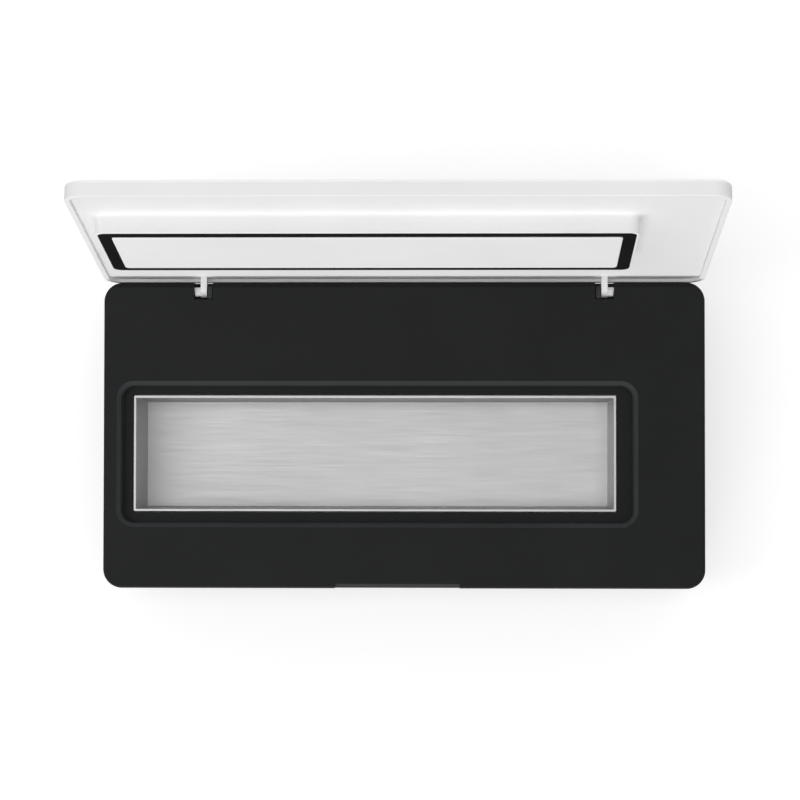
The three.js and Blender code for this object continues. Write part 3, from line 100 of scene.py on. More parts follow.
# Foam: both tones
FOAMS = {"foam": ((226, 226, 220), (238, 238, 233))}

# A noise texture's values lie mostly between these two
NOISE_LOW, NOISE_HIGH = 0.3, 0.7

# From here on in millimetres and degrees: clearance, how far cutters run past a face, and two finer gaps
GAP, OVERRUN, HAIRLINE, SLIVER = 0.3, 1.0, 0.08, 0.01
SIDES = ((-1, "left"), (1, "right"))

# Fineness of corners, rolled edges and arcs, and number of sides of the turned pieces
CORNER_STEPS, PLATE_STEPS, LINER_STEPS = 16, 8, 6
ROLL_STEPS, SEAL_STEPS, FILLET_STEPS, EDGE_STEPS, ARC_STEPS = 8, 6, 5, 4, 32
ROUND_SIDES, HUB_SIDES, DISC_SIDES, SCREW_SIDES, POST_SIDES, BORE_SIDES = 64, 72, 48, 40, 32, 24

# Case, with its feet, ribs and screw pillars
LENGTH, DEPTH, DECK_Z, CORNER = 236.0, 120.0, 56.0, 7.4
DECK_ROLL, BASE_ROLL, WALL, SKIN = 1.2, 3.0, 2.4, 2.2
SEAM_Z, SEAM_BEVEL, LIP = 44.0, 0.35, 2.0
HOUSING_BEVEL, BEVEL_ANGLE = 0.16, 55
FOOT_Z, FOOT_RADIUS, FOOT_SEAT = 1.5, 6.0, 0.6
FEET = [(sx * 96.0, sy * 38.0) for sx in (-1, 1) for sy in (-1, 1)]
FOOT_SOLE = ((3.6, 0.25), (3.8, 0.0), (5.2, 0.0), (5.6, 0.12), (5.85, 0.4), (FOOT_RADIUS, 0.8))
FLOOR_Z, UNDER_Z = FOOT_Z + WALL, DECK_Z - SKIN
FRONT_Y, REAR_Y = WALL - DEPTH / 2, DEPTH / 2 - WALL
RIB_PITCH, RIB_WIDTH, RIB_HEIGHT = 69.8, 2.0, 4.0
PILLARS = [(sx * 108.5, sy * 50.5) for sx in (-1, 1) for sy in (-1, 1)]
PILLAR_RADIUS, PILLAR_BORE, BOSS_HEIGHT = 3.6, 12.0, 3.0
PILLAR_Z = FLOOR_Z + BOSS_HEIGHT + GAP

# Screws. The crown is a head's edge as inset and fall. The cross's reach and width are in head radii
SCREW_RADIUS, HEAD_RADIUS, HEAD_HEIGHT = 1.25, 2.4, 1.5
SMALL_SCREW = (1.0, 1.9, 1.2)
HEAD_CROWN = ((0.7, 0.0), (0.3, 0.15), (0.0, 0.55))
SCREW_TAPER, CROSS_DEPTH, CROSS_REACH, CROSS_WIDTH = 0.8, 0.8, 1.2, 0.3
HEAD_SINK, CASE_SCREW_LENGTH = 1.0, 12.0

# Well, recess and finger notch
WELL = (-11.6, -7.1)
LINER_LENGTH, LINER_WIDTH, LINER_WALL, LINER_DRAFT = 190.4, 45.8, 1.0, 0.7
LINER_CORNER, LINER_INNER_CORNER = 0.6, 0.3
LINER_FLOOR_Z, RECESS_Z = 17.8, 50.0
RECESS = (-10.5, -7.45)
RECESS_LENGTH, RECESS_WIDTH, RECESS_CORNER, RECESS_SOFTNESS = 201.4, 54.2, 5.2, 0.25
CHAMFER_WIDTH, CHAMFER_DEPTH = 1.7, 1.2
NOTCH_X, NOTCH_INSET, NOTCH_HEIGHT = (-27.0, 22.0), 1.8, 6.0

# Foam, with its window for the cold block and its pocket for the sensor. The slab's edge is inset and rise
FOAM, FOAM_BOTTOM_Z, FOAM_EDGE = 6.0, 8.2, 1.0
WINDOW_LENGTH, WINDOW_HEIGHT, WINDOW_REAR = 44.6, 30.6, 22.3
SENSOR_Z, SENSOR_SINK, SENSOR_WIDTH, SENSOR_HEIGHT = 30.0, 4.2, 4.2, 8.6
SLAB_EDGE = ((0.6, 0.0), (0.1, 0.5), (0.0, 1.2))

# Hinge
HINGE_Y, HINGE_Z, HINGE_X = 57.0, 52.5, 78.8
OPEN_ANGLE = 100.5
POCKET_WIDTH, POCKET_DEPTH, POCKET_FLOOR_Z, POCKET_WALL, BEARING = 7.4, 6.6, 49.1, 1.8, 2.5
ARM, KNUCKLE, KNUCKLE_RISE, ARM_RISE = 2.4, 2.8, 1.4, 3.4
PIN, PIN_ROOT, PIN_EDGE = 1.3, 0.6, 0.4
ROLL_RADIUS, ROLL_OVERRUN = 3.65, 4.0
HOOK_ROOT = 0.4
HOOK_OUTLINE = (
    (54.55, 52.3), (54.9, 51.3), (57.0, 51.3), (57.3, 52.0),
    (57.3, 54.2), (56.9, 54.6), (55.0, 54.6), (54.6, 54.1),
)
WEDGE_SINK, WEDGE_MIDDLE_FALL, WEDGE_REAR_FALL = 0.7, 0.4, 1.6
WEDGE_BEVEL, WEDGE_ANGLE = 0.15, 25

# Closed lid. The tip is the inset and rise of the plinth's outer edge
RIM_Z, LID_TOP_Z, CEILING_Z, PANEL_Z, PANEL_TOP_Z = 56.3, 62.7, 61.1, 57.5, 58.9
LID_ROLL, RIM_WIDTH, LEDGE, RIM_EDGE, PANEL_EDGE = 1.5, 2.0, 2.0, 0.2, 0.1
TIP_Z, SEAL_Z, SEAL_POCKET_Z, CENTRE_Z, FOAM_SEAT_Z = 50.45, 50.3, 52.3, 49.9, 53.6
SEAL_WIDTH, SEAL_CORNER, SEAL_EDGE, CENTRE_EDGE = 4.7, 3.0, 0.6, 0.5
LAND, FLARE, PLINTH_WALL, PLINTH_FILLET = 0.7, 0.25, 2.0, 1.3
PLINTH_TIP = ((0.3, 0.0), (0.1, 0.1), (0.0, 0.3))

# Magnets
MAGNETS = [(side * 92.0, -51.0) for side in (-1, 1)]
MAGNET_RADIUS, MAGNET_HEIGHT, MAGNET_EDGE = 4.0, 2.0, 0.3
MAGNET_BOSS_RADIUS, MAGNET_BOSS_Z = 5.8, UNDER_Z - 2.0

# Cooling train. The hub's crown is an inset and a fall
COOLER = (-11.6, 28.5)
EXHAUST_SIZE, GRILLE_CORNER, GRILLE_EDGE, GRILLE_BEVEL = 46.0, 4.0, 0.3, 0.2
FLANGE, FLANGE_THICKNESS, FIELD_MARGIN = 1.6, 1.2, 0.5
INTAKE_WIDTH, INTAKE_Y, INTAKE_SLOTS, INTAKE_MARGIN = 25.0, 36.0, 5, 4.0
SLOT_WIDTH, SLOT_PITCH = 2.6, 4.2
FAN_FRONT_Y, FAN_REAR_Y, STATOR = 45.8, 55.8, 1.6
FAN_BORE, FAN_HUB, FAN_SHAFT = 18.5, 10.5, 1.2
FAN_SCREWS = [(COOLER[0] + sx * 16.0, COOLER[1] + sz * 16.0) for sx in (-1, 1) for sz in (-1, 1)]
HUB_CROWN = ((2.2, 0.25), (1.0, 0.0), (0.3, 0.3), (0.0, 1.0))
BLADES, BLADE_STEPS, BLADE_CAMBER, BLADE_THICKNESS, BLADE_BLUNTNESS = 7, 8, 0.9, 0.9, 0.12
BLADE_REACH = (FAN_HUB - 0.9, FAN_BORE - 0.7)
BLADE_PITCH, BLADE_CHORD = (46, 27), (10.0, 12.5)
CLAMPS, CLAMP_ENDS = [(COOLER[0] + side * 20.6, COOLER[1]) for side in (-1, 1)], (30.8, 18.8)

# Display, buttons and boards. The dish is a button's radius and depth
DISPLAY = (84.0, 30.0)
DISPLAY_LENGTH, DISPLAY_HEIGHT, DISPLAY_CORNER, DISPLAY_LEDGE = 36.0, 18.0, 2.0, 1.5
GLASS, GLASS_EDGE = 1.5, 0.25
BUTTON_X = (40.0, 50.0, 60.0)
BUTTON_RADIUS, BUTTON_PROUD, BUTTON_EDGE, BUTTON_FLANGE, BUTTON_FLANGE_THICKNESS = 3.6, 0.8, 0.45, 4.5, 0.9
BUTTON_DISH = ((0.6, 0.3), (1.6, 0.26), (2.4, 0.12), (2.9, 0.0))
BOARD_HOLES, BOARD_Y, BOARD_SCREW_ENDS = ((38.9, 17.6), (101.6, 42.4)), -51.3, (-49.4, -54.4)
CONTROL_HOLES, CONTROL_SCREW_ENDS = ((110.1, -23.0), (110.1, 39.0)), (14.1, 9.1)
POST_RADIUS, POST_HEIGHT, POST_BORE = 2.6, 8.0, 1.3

# Charging socket
SOCKET = (28.0, 15.7)
SOCKET_WIDTH, SOCKET_HEIGHT, SOCKET_CORNER, SOCKET_EDGE = 9.0, 3.2, 1.25, 0.12
SOCKET_LENGTH, SOCKET_SINK, SOCKET_SHEET = 7.5, 0.5, 0.35
TONGUE_WIDTH, TONGUE_HEIGHT, TONGUE_ROOT, TONGUE_SINK = 5.8, 0.7, 0.1, 1.0

# Cells: radius and place of their profile, from the flat end and then from the end with the contact
CELL_X, CELL_Z, CELL_Y = (-101.9, -35.7), (15.3, 34.3), -46.8
CELL_RADIUS, CELL_LENGTH, CELL_CAP_RADIUS = 9.2, 65.0, 7.7
CELL_FLAT_END = ((7.6, 0.5), (7.8, 0.08), (8.3, 0.0), (8.9, 0.15), (CELL_RADIUS, 0.7))
CELL_CONTACT_END = (
    (CELL_RADIUS, -3.4), (8.9, -3.0), (8.9, -2.4), (CELL_RADIUS, -2.0), (CELL_RADIUS, -0.6), (8.8, -0.15),
    (8.2, 0.0), (7.7, 0.0), (7.5, -0.6), (4.2, -0.6), (3.9, 0.2), (3.6, 0.75), (3.2, 0.9),
)


def linked(name, data):
    made = bpy.data.objects.new(name, data)
    bpy.context.collection.objects.link(made)
    return made


def add_camera():
    data = bpy.data.cameras.new("camera")
    data.sensor_fit = "HORIZONTAL"
    data.angle = radians(CAMERA_FIELD)
    data.clip_start = CAMERA_NEAR
    data.clip_end = CAMERA_FAR
    camera = linked("camera", data)
    camera.location = CAMERA_PLACE
    camera.rotation_euler = Euler([radians(turn) for turn in CAMERA_TURN], "XYZ")
    bpy.context.scene.camera = camera


def srgb(tone):
    """Linear colour of an sRGB triple given in 0..255."""
    linear = []
    for value in tone:
        share = value / 255
        linear.append(share / 12.92 if share <= 0.04045 else ((share + 0.055) / 1.055) ** 2.4)
    return (*linear, 1)


def fill_inputs(node, **values):
    """Sets a node's inputs. An underscore stands for a space in an input's name."""
    for name, value in values.items():
        node.inputs[name.replace("_", " ")].default_value = value
    return node


def passed(tree, source, kind, into, out, **values):
    """Links a source into a new node with these values, and gives the node's output."""
    made = fill_inputs(tree.nodes.new("ShaderNode" + kind), **values)
    tree.links.new(source, made.inputs[into])
    return made.outputs[out]


class Shader:
    """A new material with short calls for adding and joining its nodes."""

    def __init__(self, name, **values):
        self.material = bpy.data.materials.new(name)
        self.material.use_nodes = True
        self.tree = self.material.node_tree
        self.surface = fill_inputs(self.tree.nodes["Principled BSDF"], **values)

    def link(self, source, name):
        self.tree.links.new(source, self.surface.inputs[name])

    def coordinates(self, stretch=(1, 1, 1)):
        place = self.tree.nodes.new("ShaderNodeTexCoord").outputs["Object"]
        return passed(self.tree, place, "Mapping", "Vector", "Vector", Scale=stretch)

    def noise(self, where, scale, detail, roughness=0.5):
        return passed(
            self.tree, where, "TexNoise", "Vector", "Fac", Scale=scale, Detail=detail, Roughness=roughness
        )

    def cells(self, where, scale):
        return passed(self.tree, where, "TexVoronoi", "Vector", "Distance", Scale=scale)

    def tone(self, factor, low, high):
        """A colour that goes from the darker to the lighter tone as a noise rises."""
        made = self.tree.nodes.new("ShaderNodeValToRGB")
        stops = ((NOISE_LOW, low), (NOISE_HIGH, high))
        for element, (place, tone) in zip(made.color_ramp.elements, stops):
            element.position = place
            element.color = srgb(tone)
        self.tree.links.new(factor, made.inputs["Fac"])
        return made.outputs["Color"]

    def spread(self, factor, low, high, start=NOISE_LOW, end=NOISE_HIGH):
        """A number that goes from low to high as the factor goes from start to end."""
        values = {"From_Min": start, "From_Max": end, "To_Min": low, "To_Max": high}
        return passed(self.tree, factor, "MapRange", "Value", "Result", **values)

    def bump(self, height, strength, depth):
        return passed(self.tree, height, "Bump", "Height", "Normal", Strength=strength, Distance=depth)

    def finish(self, colour, roughness, normal):
        self.link(colour, "Base Color")
        self.link(roughness, "Roughness")
        self.link(normal, "Normal")
        return self.material


def moulded_plastic(name, low, high, rough, grain_scale, grain_depth, shine):
    """Moulded plastic with a fine eroded grain and a slight drift of tone."""
    shader = Shader(name, Specular_IOR_Level=shine)
    where = shader.coordinates()
    drift = shader.noise(where, scale=26, detail=3)
    grain = shader.noise(where, scale=grain_scale, detail=6, roughness=0.62)
    return shader.finish(
        shader.tone(drift, low, high),
        shader.spread(grain, rough - 0.05, rough + 0.06),
        shader.bump(grain, strength=0.35, depth=grain_depth),
    )


def drawn_metal(name, low, high, rough, stretch, depth, grain_scale, swing):
    """Bare metal with a fine grain, which the stretch can draw out into lines."""
    shader = Shader(name, Metallic=1.0)
    grain = shader.noise(shader.coordinates(stretch), scale=grain_scale, detail=5, roughness=0.6)
    cloud = shader.noise(shader.coordinates(), scale=18, detail=3)
    return shader.finish(
        shader.tone(cloud, low, high),
        shader.spread(grain, rough - swing, rough + swing),
        shader.bump(grain, strength=0.25, depth=depth),
    )


def soft_rubber(name, low, high, rough, shine):
    shader = Shader(name, Specular_IOR_Level=shine)
    where = shader.coordinates()
    grain = shader.noise(where, scale=2600, detail=4)
    drift = shader.noise(where, scale=60, detail=3)
    return shader.finish(
        shader.tone(drift, low, high),
        shader.spread(grain, rough - 0.06, rough + 0.05),
        shader.bump(grain, strength=0.3, depth=0.00002),
    )


def cell_foam(name, low, high):
    """Closed-cell foam, with small bubbles cut open at its faces."""
    shader = Shader(name, Specular_IOR_Level=0.15)
    where = shader.coordinates()
    bubbles = shader.cells(where, scale=900)
    drift = shader.noise(where, scale=40, detail=3)
    return shader.finish(
        shader.tone(drift, low, high),
        shader.spread(bubbles, 0.95, 0.85, start=0, end=0.6),
        shader.bump(bubbles, strength=0.5, depth=0.0003),
    )


KINDS = ((moulded_plastic, PLASTICS), (drawn_metal, METALS), (soft_rubber, RUBBERS), (cell_foam, FOAMS))
MATERIALS = {name: finish(name, *row) for finish, table in KINDS for name, row in table.items()}
SLOTS = {row["node"]: row["material_slot"] for row in frame["record"]["subparts"]}


def dress_nodes():
    for name in frame["nodes"]:
        made = bpy.data.objects[name]
        made.data.materials.clear()
        made.data.materials.append(MATERIALS[SLOTS[name]])


def body_of_node(node):
    for body, nodes in frame["record"]["behaviour"]["bodies"].items():
        if node in nodes:
            return body
    return "base"


# A shape is a pair: its points in millimetres, and its faces, which index them


def ring(length, width, radius, z, centre=(0.0, 0.0), steps=CORNER_STEPS):
    """A level ring with rounded corners, anticlockwise from above."""
    points = []
    for quarter, (side_x, side_y) in enumerate(((1, -1), (1, 1), (-1, 1), (-1, -1))):
        x = centre[0] + side_x * (length / 2 - radius)
        y = centre[1] + side_y * (width / 2 - radius)
        for step in range(steps + 1):
            angle = (quarter - 1 + step / steps) * pi / 2
            points.append((x + radius * cos(angle), y + radius * sin(angle), z))
    return points


def skin(rings, levels):
    """The points of all rings, and the faces from each of these levels to the next."""
    count = len(rings[0])
    points = [point for row in rings for point in row]
    faces = []
    for level in levels:
        low, high = level * count, (level + 1) % len(rings) * count
        for i in range(count):
            j = (i + 1) % count
            faces.append((low + i, low + j, high + j, high + i))
    return points, faces


def loft(rings):
    """A closed solid through rings that run the same way round."""
    points, faces = skin(rings, range(len(rings) - 1))
    count = len(rings[0])
    faces.append(tuple(reversed(range(count))))
    faces.append(tuple(range(len(points) - count, len(points))))
    return points, faces


def hoop(rings):
    """A solid tube closed on itself: rings that go once round its cross section."""
    return skin(rings, range(len(rings)))


def case_ring(inset, z):
    return ring(LENGTH - 2 * inset, DEPTH - 2 * inset, CORNER - inset, z)


def well_ring(growth, radius, z, steps=CORNER_STEPS):
    return ring(LINER_LENGTH + 2 * growth, LINER_WIDTH + 2 * growth, radius, z, WELL, steps)


def seal_ring(growth, z):
    return well_ring(SEAL_WIDTH / 2 + growth, SEAL_CORNER + growth, z)


def recess_ring(growth, z):
    size = (RECESS_LENGTH + 2 * growth, RECESS_WIDTH + 2 * growth)
    return ring(*size, RECESS_CORNER + growth, z, RECESS)


def layered(ring_at, rows):
    """A solid through the rings that a function draws for rows of offset and height."""
    return loft([ring_at(offset, z) for offset, z in rows])


def rolled(radius, steps=ROLL_STEPS):
    """Pairs of inset and fall of a rounded edge, from its wall to its face."""
    pairs = []
    for step in range(steps + 1):
        angle = step / steps * pi / 2
        pairs.append((radius * (1 - cos(angle)), radius * (1 - sin(angle))))
    return pairs


def around(centre, size):
    return (centre - size / 2, centre + size / 2)


def between(ends, share):
    return ends[0] + (ends[1] - ends[0]) * share


def along(axis, point):
    """Turns a point drawn as (across, across, along) so that its last number runs along the axis."""
    u, v, w = point
    return {"x": (w, u, v), "y": (u, w, v), "z": (u, v, w)}[axis]


def stack(axis, outlines):
    """A solid through flat outlines of (across, across) points, each at its place along the axis."""
    rows = [[along(axis, (u, v, place)) for u, v in outline] for outline, place in outlines]
    return loft(rows)


def prism(axis, outline, span):
    return stack(axis, [(outline, span[0]), (outline, span[1])])


def rectangle(us, vs):
    return [(us[0], vs[0]), (us[1], vs[0]), (us[1], vs[1]), (us[0], vs[1])]


def box(xs, ys, zs):
    return prism("z", rectangle(xs, ys), zs)


def at_turns(radius, centre, turns):
    return [(centre[0] + radius * cos(turn), centre[1] + radius * sin(turn)) for turn in turns]


def arc(radius, centre, start, end):
    """Points from one angle to another, both given in half turns."""
    turns = [pi * between((start, end), step / ARC_STEPS) for step in range(ARC_STEPS + 1)]
    return at_turns(radius, centre, turns)


def circle(radius, centre, sides=ROUND_SIDES):
    return at_turns(radius, centre, [2 * pi * i / sides for i in range(sides)])


def rod(axis, radius, span, centre, sides=ROUND_SIDES):
    return prism(axis, circle(radius, centre, sides), span)


def rods(axis, radius, span, places, sides=ROUND_SIDES):
    return joined(*[rod(axis, radius, span, place, sides) for place in places])


def turned(axis, profile, centre, sides=ROUND_SIDES):
    """A revolved solid whose (radius, place) profile is off the axis, closed flat at both ends."""
    return stack(axis, [(circle(radius, centre, sides), place) for radius, place in profile])


def rounded(length, width, radius, centre, steps=PLATE_STEPS):
    return [(x, y) for x, y, _ in ring(length, width, radius, 0, centre, steps)]


def plate(axis, length, width, radius, centre, span, edge=0.0, near=True, far=True):
    """A rounded plate along an axis, with soft edges at its near and far faces."""
    sharp = [(0.0, 0.0)]
    rounding = rolled(edge, EDGE_STEPS) if edge else sharp
    rows = []
    for place, inward, soft in ((span[0], 1, near), (span[1], -1, far)):
        steps = rounding if soft else sharp
        for inset, fall in steps[::-inward]:
            outline = rounded(length - 2 * inset, width - 2 * inset, radius - inset, centre)
            rows.append((outline, place + inward * fall))
    return stack(axis, rows)


def joined(*shapes):
    points, faces = [], []
    for more_points, more_faces in shapes:
        start = len(points)
        points += more_points
        faces += [tuple(i + start for i in face) for face in more_faces]
    return points, faces


def solid(name, shape):
    mesh = bpy.data.meshes.new(name)
    points, faces = shape
    mesh.from_pydata([(x * MM, y * MM, z * MM) for x, y, z in points], [], faces)
    work = bmesh.new()
    work.from_mesh(mesh)
    bmesh.ops.remove_doubles(work, verts=work.verts, dist=1e-7)
    bmesh.ops.recalc_face_normals(work, faces=work.faces)
    work.to_mesh(mesh)
    work.free()
    return linked(name, mesh)


def settle(made):
    """Bakes an object's modifiers into its mesh."""
    evaluated = made.evaluated_get(bpy.context.evaluated_depsgraph_get())
    baked = bpy.data.meshes.new_from_object(evaluated)
    made.modifiers.clear()
    made.data = baked


def combine(made, shapes, operation):
    """Joins the shapes to an object, or cuts them from it, one after another."""
    for number, shape in enumerate(shapes):
        tool = solid(f"{made.name}_tool_{number}", shape)
        step = made.modifiers.new("step", "BOOLEAN")
        step.operation = operation
        step.solver = "EXACT"
        step.object = tool
        settle(made)
        bpy.data.objects.remove(tool, do_unlink=True)


def cut(made, *shapes):
    combine(made, shapes, "DIFFERENCE")


def fuse(made, *shapes):
    combine(made, shapes, "UNION")


def soften(made, width, angle, segments=2):
    step = made.modifiers.new("soften", "BEVEL")
    step.width = width * MM
    step.segments = segments
    step.limit_method = "ANGLE"
    step.angle_limit = radians(angle)
    step.use_clamp_overlap = True
    settle(made)


def shade(made, angle=32):
    """Smooth shading between sharp edges, in which the large flat faces stay flat."""
    for face in made.data.polygons:
        face.use_smooth = True
    made.data.set_sharp_from_angle(angle=radians(angle))
    step = made.modifiers.new("flat_faces_first", "WEIGHTED_NORMAL")
    step.keep_sharp = True
    step.weight = 90
    settle(made)


def opened(made):
    """Turns a piece that was made on the closed lid to the open lid's place."""
    pivot = Vector((0, HINGE_Y * MM, HINGE_Z * MM))
    turn = Matrix.Rotation(-radians(OPEN_ANGLE), 4, "X")
    made.data.transform(Matrix.Translation(pivot) @ turn @ Matrix.Translation(-pivot))


def stand_for(made, *nodes):
    """Gives a piece that stands for its nodes its shading, material, slot and body."""
    chosen = SLOTS[nodes[0]]
    made.data.materials.clear()
    made.data.materials.append(MATERIALS[chosen])
    shade(made)
    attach(made, body_of_node(nodes[0]))
    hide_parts(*nodes)


def grille_plate(axis, growth, span, **edges):
    """A plate of the outline of the exhaust, along Y, or of the intake, along Z."""
    width, centre = {"y": (EXHAUST_SIZE, COOLER), "z": (INTAKE_WIDTH, (COOLER[0], INTAKE_Y))}[axis]
    size = (EXHAUST_SIZE + 2 * growth, width + 2 * growth)
    return plate(axis, *size, GRILLE_CORNER, centre, span, **edges)


def exhaust_window():
    return grille_plate("y", 0, (REAR_Y - OVERRUN, DEPTH / 2 + OVERRUN))


def deck_cap():
    """The deck's outside, from the seam to its rolled top edge."""
    roll = [(inset, DECK_Z - fall) for inset, fall in rolled(DECK_ROLL)]
    return layered(case_ring, [(SEAM_BEVEL, SEAM_Z), (0, SEAM_Z + SEAM_BEVEL), *roll])


def deck_hollow():
    """What is hollow under the deck's skin, with the rabbet for the base's lip."""
    rabbet = (WALL - GAP) / 2
    step_z = SEAM_Z + LIP + GAP
    return layered(case_ring, [(rabbet, SEAM_Z - OVERRUN), (rabbet, step_z), (WALL, step_z), (WALL, UNDER_Z)])


def deck_supports():
    """What hangs below the skin: recess tub, screw pillars, magnet bosses and hinge pockets."""
    middle_z = (UNDER_Z + DECK_Z) / 2
    tub = layered(recess_ring, [(SKIN, RECESS_Z - SKIN), (SKIN, middle_z)])
    pillars = rods("z", PILLAR_RADIUS, (PILLAR_Z, middle_z), PILLARS, POST_SIDES)
    bosses = rods("z", MAGNET_BOSS_RADIUS, (MAGNET_BOSS_Z, middle_z), MAGNETS, DISC_SIDES)
    ys = (DEPTH / 2 - POCKET_DEPTH - POCKET_WALL, (REAR_Y + DEPTH / 2) / 2)
    pockets = []
    for side, _ in SIDES:
        outer = side * (HINGE_X + POCKET_WIDTH / 2 + BEARING)
        inner = side * (HINGE_X - POCKET_WIDTH / 2 - POCKET_WALL)
        pockets.append(box(sorted((outer, inner)), ys, (POCKET_FLOOR_Z - POCKET_WALL, middle_z)))
    return [tub, joined(pillars, bosses), joined(*pockets)]


def recess_cut():
    """The shallow recess round the well, with its sloped edge."""
    soft = RECESS_SOFTNESS
    slope_z = DECK_Z - CHAMFER_DEPTH
    return layered(recess_ring, [
        (-soft, RECESS_Z),
        (-soft / 3, RECESS_Z + soft / 3),
        (0, RECESS_Z + soft),
        (0, slope_z - soft),
        (soft / 4, slope_z),
        (soft, slope_z + soft / 2),
        (CHAMFER_WIDTH - soft, DECK_Z - soft / 2),
        (CHAMFER_WIDTH - soft / 4, DECK_Z - soft / 6),
        (CHAMFER_WIDTH + soft / 2, DECK_Z),
        (CHAMFER_WIDTH + soft / 2, DECK_Z + OVERRUN),
    ])


def rear_roll():
    """The corner above the hinge axis that is cut away so that the lid's rim can swing."""
    rear = DEPTH / 2 + ROLL_OVERRUN
    outline = [(rear, HINGE_Z), (rear, DECK_Z + OVERRUN), (HINGE_Y, DECK_Z + OVERRUN)]
    outline += arc(ROLL_RADIUS, (HINGE_Y, HINGE_Z), 0.5, 0)
    reach = LENGTH / 2 + OVERRUN
    return prism("x", outline, (-reach, reach))


def finger_notch():
    """A slanted scoop in the middle of the front edge, for a fingertip under the lid."""
    front = -DEPTH / 2
    slope = NOTCH_INSET / NOTCH_HEIGHT
    outline = [
        (front + NOTCH_INSET + slope * OVERRUN, DECK_Z + OVERRUN),
        (front - OVERRUN, DECK_Z + OVERRUN),
        (front - OVERRUN, DECK_Z - NOTCH_HEIGHT - OVERRUN / slope),
    ]
    return prism("x", outline, NOTCH_X)


def hinge_slots():
    ys = (DEPTH / 2 - POCKET_DEPTH, DEPTH / 2 + OVERRUN)
    zs = (POCKET_FLOOR_Z, DECK_Z + OVERRUN)
    return joined(*[box(around(side * HINGE_X, POCKET_WIDTH), ys, zs) for side, _ in SIDES])


def hinge_bearings():
    """The holes beside the slots, in which the lid's stub pins turn."""
    bearings = []
    for side, _ in SIDES:
        wall = side * (HINGE_X + POCKET_WIDTH / 2)
        span = sorted((wall - side * OVERRUN, wall + side * (BEARING + OVERRUN)))
        bearings.append(rod("x", PIN + GAP, span, (HINGE_Y, HINGE_Z), POST_SIDES))
    return joined(*bearings)


def deck_bores():
    bore_span = (PILLAR_Z - OVERRUN, PILLAR_Z + PILLAR_BORE)
    bores = rods("z", SCREW_RADIUS + GAP, bore_span, PILLARS, BORE_SIDES)
    pockets = rods("z", MAGNET_RADIUS + GAP, (MAGNET_BOSS_Z - OVERRUN, UNDER_Z), MAGNETS, DISC_SIDES)
    return joined(bores, pockets)


def make_top_deck():
    deck = solid("deck_top", deck_cap())
    cut(deck, deck_hollow())
    fuse(deck, *deck_supports())
    corner = LINER_CORNER + GAP
    opening = loft([well_ring(GAP, corner, LINER_FLOOR_Z), well_ring(GAP, corner, DECK_Z)])
    cut(
        deck, recess_cut(), opening, rear_roll(), finger_notch(), exhaust_window(), hinge_slots(),
        hinge_bearings(), deck_bores(),
    )
    soften(deck, HOUSING_BEVEL, BEVEL_ANGLE)
    stand_for(deck, "top_deck")
    paint_light_on_deck_edges(deck)


def paint_light_on_deck_edges(deck):
    """Paints light onto the deck by how its faces slant: the recess's sloped side gets a lighter tone as
    painted light, its wall the same tone painted against its shade, and the notch's scoop a lighter tone as
    painted light, with a duller gloss.
    """
    edge, scoop = 1, 2
    for name in ("housing_edge", "housing_scoop"):
        deck.data.materials.append(MATERIALS[name])
    level = 0.97
    scoop_low, scoop_high = 0.2, 0.4
    reach_x = RECESS_LENGTH / 2 + CHAMFER_WIDTH + GAP
    reach_y = RECESS_WIDTH / 2 + CHAMFER_WIDTH + GAP
    for face in deck.data.polygons:
        x, y, z = (value / MM for value in face.center)
        up = face.normal.z
        in_recess = abs(x - RECESS[0]) < reach_x and abs(y - RECESS[1]) < reach_y and RECESS_Z < z
        in_notch = NOTCH_X[0] < x < NOTCH_X[1] and scoop_low < up < scoop_high and y < 0
        # Painted light: the slanted faces in the recess get the lighter tone, and the notch's slanted faces
        # get theirs
        if up < level and in_recess:
            face.material_index = edge
        elif in_notch:
            face.material_index = scoop


def base_cup():
    """The base's outside, from its rounded foot to the lip that enters the deck."""
    roll = [(inset, FOOT_Z + fall) for inset, fall in reversed(rolled(BASE_ROLL))]
    top, lip = SEAM_Z - GAP, (WALL + GAP) / 2
    rim = [(0, top - SEAM_BEVEL), (SEAM_BEVEL, top), (lip, top), (lip, SEAM_Z + LIP)]
    return layered(case_ring, roll + rim)


def base_posts():
    """Bosses for the case screws, posts for the two boards, and ribs under the foam."""
    start = FOOT_Z + WALL / 2
    bosses = rods("z", PILLAR_RADIUS, (start, FLOOR_Z + BOSS_HEIGHT), PILLARS, POST_SIDES)
    control = rods("z", POST_RADIUS, (start, FLOOR_Z + POST_HEIGHT), CONTROL_HOLES, POST_SIDES)
    board = rods("y", POST_RADIUS, (FRONT_Y - WALL / 2, BOARD_Y - GAP), BOARD_HOLES, POST_SIDES)
    ys, zs = around(WELL[1], LINER_WIDTH), (start, FLOOR_Z + RIB_HEIGHT)
    ribs = [box(around(WELL[0] + step * RIB_PITCH, RIB_WIDTH), ys, zs) for step in (-1, 0, 1)]
    return [joined(bosses, control, board), joined(*ribs)]


def base_bores():
    """Seats for the feet, sinks for the screw heads, and bores for the screws."""
    below = FOOT_Z - OVERRUN
    sink_z = FOOT_Z + HEAD_SINK + HEAD_HEIGHT + GAP
    seats = rods("z", FOOT_RADIUS + GAP, (below, FOOT_Z + FOOT_SEAT), FEET)
    sinks = rods("z", HEAD_RADIUS + GAP, (below, sink_z), PILLARS, DISC_SIDES)
    case = rods("z", SCREW_RADIUS + GAP, (FOOT_Z, DECK_Z), PILLARS, BORE_SIDES)
    control = rods("z", POST_BORE, (FLOOR_Z, FLOOR_Z + POST_HEIGHT + OVERRUN), CONTROL_HOLES, BORE_SIDES)
    board = rods("y", POST_BORE, (FRONT_Y, BOARD_Y + OVERRUN), BOARD_HOLES, BORE_SIDES)
    return [joined(seats, sinks), joined(case, control, board)]


def display_plate(growth, corner, span):
    return plate("y", DISPLAY_LENGTH + 2 * growth, DISPLAY_HEIGHT + 2 * growth, corner, DISPLAY, span)


